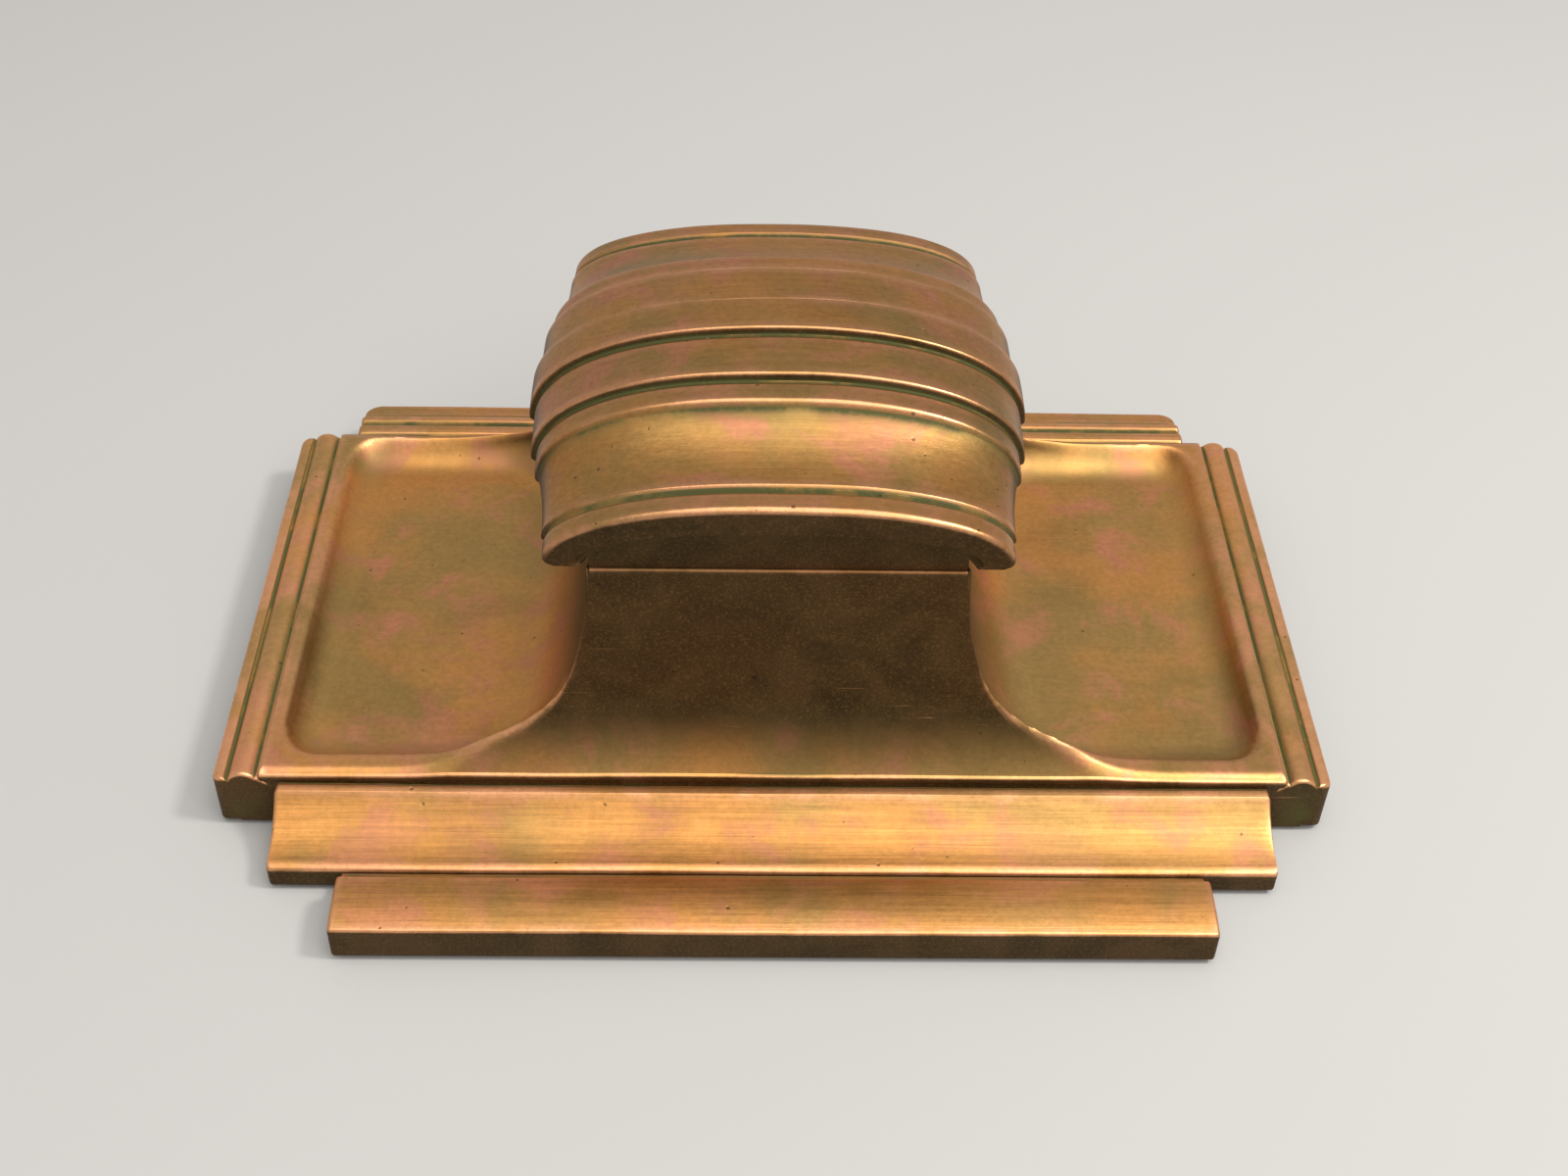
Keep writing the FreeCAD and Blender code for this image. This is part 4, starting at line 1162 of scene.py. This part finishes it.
class BaseSizes(bpy.types.PropertyGroup):
    """Sizes of the base."""
    rim_height: length("Rim height", 10.4, 8.0, 12.0, "Top of the tray block's rim")
    tray_floor: length("Tray floor", 7.0, 5.0, 9.0, "Height of the trays' floor")
    deck_edge: length("Deck edge", 0.45, 0.1, 1.0, "Rounding of the pedestal's top edge")
    cove_long: length("Long cove radius", 150.0, 60.0, 400.0,
                      "Radius of the pedestal's upper sweep")
    cove_turn: length("Cove turn", 22.0, 10.0, 30.0, "How far down the tighter sweep starts")
    cove_end: number("Foot angle", math.radians(38.0), math.radians(20.0), math.radians(60.0),
                     "Slope at the pedestal's foot, from upright", subtype="ANGLE")
    floor_start: length("Floor start", 40.5, 34.0, 48.0,
                        "Half width at which the tray floor becomes level")
    inner_power: number("Inner flare", 2.1, 1.5, 4.0,
                        "Squareness of the flare between pedestal and floor")
    front_wall: length("Front wall", 38.15, 36.0, 38.6, "Half depth of the trays")
    front_turn: length("Front sweep", 6.3, 2.0, 9.0,
                       "Radius of the trays' front and back walls")
    front_border: length("Front border", 2.7, 0.0, 4.0,
                         "How much wider the block's border is in front")
    outer_wall: length("Outer wall", 71.2, 68.0, 72.4, "Half width of the trays")
    outer_turn: length("Outer sweep", 5.6, 2.0, 8.0, "Radius of the trays' outer walls")
    strip_top: length("Strip top", 9.5, 8.0, 10.4, "Top of the side strips")
    bead_top: length("Bead top", 10.45, 9.6, 11.0, "Top of the side beads")
    corner_round: length("Corner rounding", 1.6, 0.5, 3.0,
                         "Plan rounding of the side strips' ends")
    step_top: length("Step top", 8.9, 7.0, 9.6, "Top of the coved step")
    cove_mid: length("Step sweep", 6.45, 5.0, 7.5,
                     "Height of the step's concave sweep near its foot")
    lip_top: length("Step lip", 4.5, 3.5, 5.5, "Top of the step's lip")
    bar_groove: length("Bar groove", 3.9, 3.0, 4.4, "Height of the groove behind the bar")
    bar_top: length("Bar top", 6.9, 5.0, 7.5, "Top of the bar's front edge")
    ledge_top: length("Ledge top", 9.15, 8.0, 9.8,
                      "Top of the ribbed ledge behind the block")
    ledge_corner: length("Ledge corners", 2.9, 0.5, 3.0, "Plan rounding of the ledge's ends")
    end_round: length("End rounding", 0.5, 0.1, 1.0,
                      "Rounding of the ends of step, bar and ledge")
    felt_edge: length("Felt edge", 0.6, 0.2, 1.1, "Rounding of the felt's lower edge")


class LidSizes(bpy.types.PropertyGroup):
    """Sizes of the lid."""
    arch_power: number("Arch squareness", 2.3, 2.0, 3.5,
                       "Exponent of the arches; 2 is an ellipse")
    foot_round: length("Foot rounding", 0.9, 0.1, 1.5, "Rounding of the arches' lower edges")
    skirt_edge: length("Skirt edge", 0.3, 0.1, 0.6, "Rounding of the skirt's lower edge")


class BronzeColours(bpy.types.PropertyGroup):
    """Colours of the bronze."""
    bright: swatch("Bright bronze", (0.62, 0.29, 0.085), "Rubbed bronze")
    olive: swatch("Olive bronze", (0.41, 0.255, 0.085), "Olive brown film")
    # umber also paints the shade of upright faces, besides their unrubbed tarnish and the dull
    # clouds
    umber: swatch("Umber", (0.025, 0.016, 0.007), "Brown of faces that are never rubbed")
    verdigris: swatch("Green patina", (0.095, 0.094, 0.030), "Green film in the hollows")
    copper: swatch("Worn copper", (0.78, 0.38, 0.19), "Copper colour of worn edges")
    rose: swatch("Rose", (0.62, 0.25, 0.14), "Reddish patches in the bronze")


class SmallParts(bpy.types.PropertyGroup):
    """Colours of the small parts."""
    brass: swatch("Brass", (0.62, 0.44, 0.16), "Hinge leaves and their screws")
    steel: swatch("Steel", (0.42, 0.41, 0.39), "Hinge pin and board screws")
    felt: swatch("Felt", (0.028, 0.075, 0.042), "Wool felt")


class StageSettings(bpy.types.PropertyGroup):
    """Floor, light and camera."""
    floor: swatch("Floor", (0.56, 0.555, 0.545), "Colour of the floor")
    sky: number("Surround", 0.50, 0.0, 3.0, "Strength of the even light all round")
    key: number("Key light", 6.0, 0.0, 50.0, "Power of the large light overhead",
                unit="POWER")
    fill: number("Second light", 2.2, 0.0, 50.0, "Power of the small light on the right",
                 unit="POWER")
    lens: number("Lens", 46.1, 20.0, 120.0, "Focal length in millimetres", unit="CAMERA")
    exposure: number("Exposure", 0.0, -3.0, 3.0, "Exposure in stops")


class Settings(bpy.types.PropertyGroup):
    """All the inkwell's settings."""
    base: PointerProperty(type=BaseSizes)
    lid: PointerProperty(type=LidSizes)
    bronze: PointerProperty(type=BronzeColours)
    small: PointerProperty(type=SmallParts)
    stage: PointerProperty(type=StageSettings)


def sizes(group):
    """The group's values by name, with its lengths in millimetres."""
    values = {}
    for prop in group.bl_rna.properties:
        if prop.type == "FLOAT":
            value = getattr(group, prop.identifier)
            values[prop.identifier] = round(value / MM, 5) if prop.unit == "LENGTH" else value
    return SimpleNamespace(**values)


# ---- operators -------------------------------------------------------------------
class INKWELL_OT_base(bpy.types.Operator):
    """Make the tray block with its pedestal"""
    bl_idname = "inkwell.base"
    bl_label = "Base body"

    def execute(self, context):
        s = context.scene.inkwell
        base_body(sizes(s.base), bronze("tray_bronze", s.bronze))
        return {"FINISHED"}


class INKWELL_OT_edges(bpy.types.Operator):
    """Make the side mouldings, the step, the bar and the ledge"""
    bl_idname = "inkwell.edges"
    bl_label = "Mouldings and steps"

    def execute(self, context):
        s = context.scene.inkwell
        side_mouldings(sizes(s.base), bronze("moulding_bronze", s.bronze))
        steps_and_ledge(sizes(s.base), bronze("step_bronze", s.bronze))
        return {"FINISHED"}


class INKWELL_OT_lid(bpy.types.Operator):
    """Make the arched lid"""
    bl_idname = "inkwell.lid"
    bl_label = "Lid"

    def execute(self, context):
        s = context.scene.inkwell
        lid_body(sizes(s.lid), bronze("lid_bronze", s.bronze))
        return {"FINISHED"}


class INKWELL_OT_fittings(bpy.types.Operator):
    """Finish the hinge, screws, glass pot and board"""
    bl_idname = "inkwell.fittings"
    bl_label = "Pot, hinge and board"

    def execute(self, context):
        s = context.scene.inkwell.small
        brass = finished("hinge_brass", brushed_metal, s.brass, (0.20, 0.125, 0.045), 0.34)
        steel = finished("pin_steel", brushed_metal, s.steel, (0.13, 0.12, 0.11), 0.3)
        dress(brass, "hinge_leaf_base", "hinge_leaf_lid", "hinge_screws_base",
              "hinge_screws_lid")
        dress(steel, "hinge_pin", "board_screws")
        dress(finished("pot_glass", pressed_glass), "glass_well")
        dress(finished("pressed_board", fibre_board), "underside_board")
        return {"FINISHED"}


class INKWELL_OT_felt(bpy.types.Operator):
    """Make the felt under the base"""
    bl_idname = "inkwell.felt"
    bl_label = "Felt"

    def execute(self, context):
        s = context.scene.inkwell
        felt_sheet(sizes(s.base), finished("green_felt", wool_felt, s.small.felt))
        return {"FINISHED"}


# where the lights and the camera stand, in metres; the camera's place counts from the
# pedestal's middle, and its angles are in radians
KEY_AT, KEY_AIM, KEY_SIZE = (0.15, -0.30, 0.88), (0.0, 0.0, 0.02), (0.75, 1.2)
SIDE_AT, SIDE_AIM, SIDE_SIZE = (0.42, -0.10, 0.62), (0.02, 0.0, 0.03), (0.12, 0.12)
EYE_AT = (-0.0047, -0.2317, 0.2227)
EYE_DOWN, EYE_TURN, EYE_ROLL = math.radians(42.37), 0.0273, 0.027
FLOOR_HALF = 3.0


def area_light(name, place, aim, size, power, colour):
    light = bpy.data.lights.new(name, "AREA")
    light.shape = "RECTANGLE"
    light.size, light.size_y = size
    light.energy = power
    light.color = colour
    obj = bpy.data.objects.new(name, light)
    obj.location = place
    obj.rotation_mode = "QUATERNION"
    obj.rotation_quaternion = (Vector(aim) - Vector(place)).to_track_quat("-Z", "Y")
    bpy.context.scene.collection.objects.link(obj)


def make_camera(lens):
    """Camera that looks down and slightly to the right, rolled a little."""
    forward = Vector((EYE_TURN * math.cos(EYE_DOWN), math.cos(EYE_DOWN),
                      -math.sin(EYE_DOWN))).normalized()
    level = forward.cross(Vector((0, 0, 1))).normalized()
    above = level.cross(forward)
    right = level * math.cos(EYE_ROLL) + above * math.sin(EYE_ROLL)
    up = right.cross(forward)
    camera = bpy.data.cameras.new("camera")
    camera.lens, camera.sensor_width = lens, 36.0
    camera.clip_start, camera.clip_end = 0.01, 20.0
    eye = bpy.data.objects.new("camera", camera)
    turned = Matrix((right, up, -forward)).transposed().to_4x4()
    eye.matrix_world = Matrix.Translation(
        (EYE_AT[0], EYE_AT[1] + SHIFT * MM, EYE_AT[2])) @ turned
    bpy.context.scene.collection.objects.link(eye)
    return eye


class INKWELL_OT_stage(bpy.types.Operator):
    """Make the floor, the lights and the camera"""
    bl_idname = "inkwell.stage"
    bl_label = "Stage"

    def execute(self, context):
        s = context.scene.inkwell.stage
        scene = context.scene
        corners = [(-FLOOR_HALF, -FLOOR_HALF, 0), (FLOOR_HALF, -FLOOR_HALF, 0),
                   (FLOOR_HALF, FLOOR_HALF, 0), (-FLOOR_HALF, FLOOR_HALF, 0)]
        mesh = bpy.data.meshes.new("floor")
        mesh.from_pydata(corners, [], [(0, 1, 2, 3)])
        mesh.materials.append(finished("floor", pale_ground, s.floor))
        floor = bpy.data.objects.new("floor", mesh)
        scene.collection.objects.link(floor)
        world = bpy.data.worlds.new("surround")
        world.use_nodes = True
        back = world.node_tree.nodes["Background"].inputs
        back["Color"].default_value = (1.0, 0.985, 0.96, 1.0)
        back["Strength"].default_value = s.sky
        scene.world = world
        area_light("key", KEY_AT, KEY_AIM, KEY_SIZE, s.key, (1.0, 0.97, 0.93))
        area_light("side", SIDE_AT, SIDE_AIM, SIDE_SIZE, s.fill, (1.0, 0.97, 0.92))
        scene.camera = make_camera(s.lens)
        scene.view_settings.view_transform = "Standard"
        scene.view_settings.exposure = s.exposure
        return {"FINISHED"}


class INKWELL_PT_panel(bpy.types.Panel):
    """The inkwell's pieces and settings"""
    bl_idname = "INKWELL_PT_panel"
    bl_label = "Inkwell"
    bl_space_type = "VIEW_3D"
    bl_region_type = "UI"
    bl_category = "Inkwell"

    def draw(self, context):
        for kind in OPERATORS:
            self.layout.operator(kind.bl_idname)
        for group in ("base", "lid", "bronze", "small", "stage"):
            box = self.layout.box()
            owner = getattr(context.scene.inkwell, group)
            for name in type(owner).__annotations__:
                box.prop(owner, name)


OPERATORS = (INKWELL_OT_stage, INKWELL_OT_base, INKWELL_OT_edges, INKWELL_OT_lid,
             INKWELL_OT_fittings, INKWELL_OT_felt)
CLASSES = (BaseSizes, LidSizes, BronzeColours, SmallParts, StageSettings, Settings,
           *OPERATORS, INKWELL_PT_panel)


def register():
    for kind in CLASSES:
        bpy.utils.register_class(kind)
    bpy.types.Scene.inkwell = PointerProperty(type=Settings)


def unregister():
    del bpy.types.Scene.inkwell
    for kind in reversed(CLASSES):
        bpy.utils.unregister_class(kind)


def main():
    """Makes everything in order."""
    register()
    bpy.ops.inkwell.stage()
    bpy.ops.inkwell.base()
    bpy.ops.inkwell.edges()
    bpy.ops.inkwell.lid()
    bpy.ops.inkwell.fittings()
    bpy.ops.inkwell.felt()


if __name__ == "__main__":
    main()
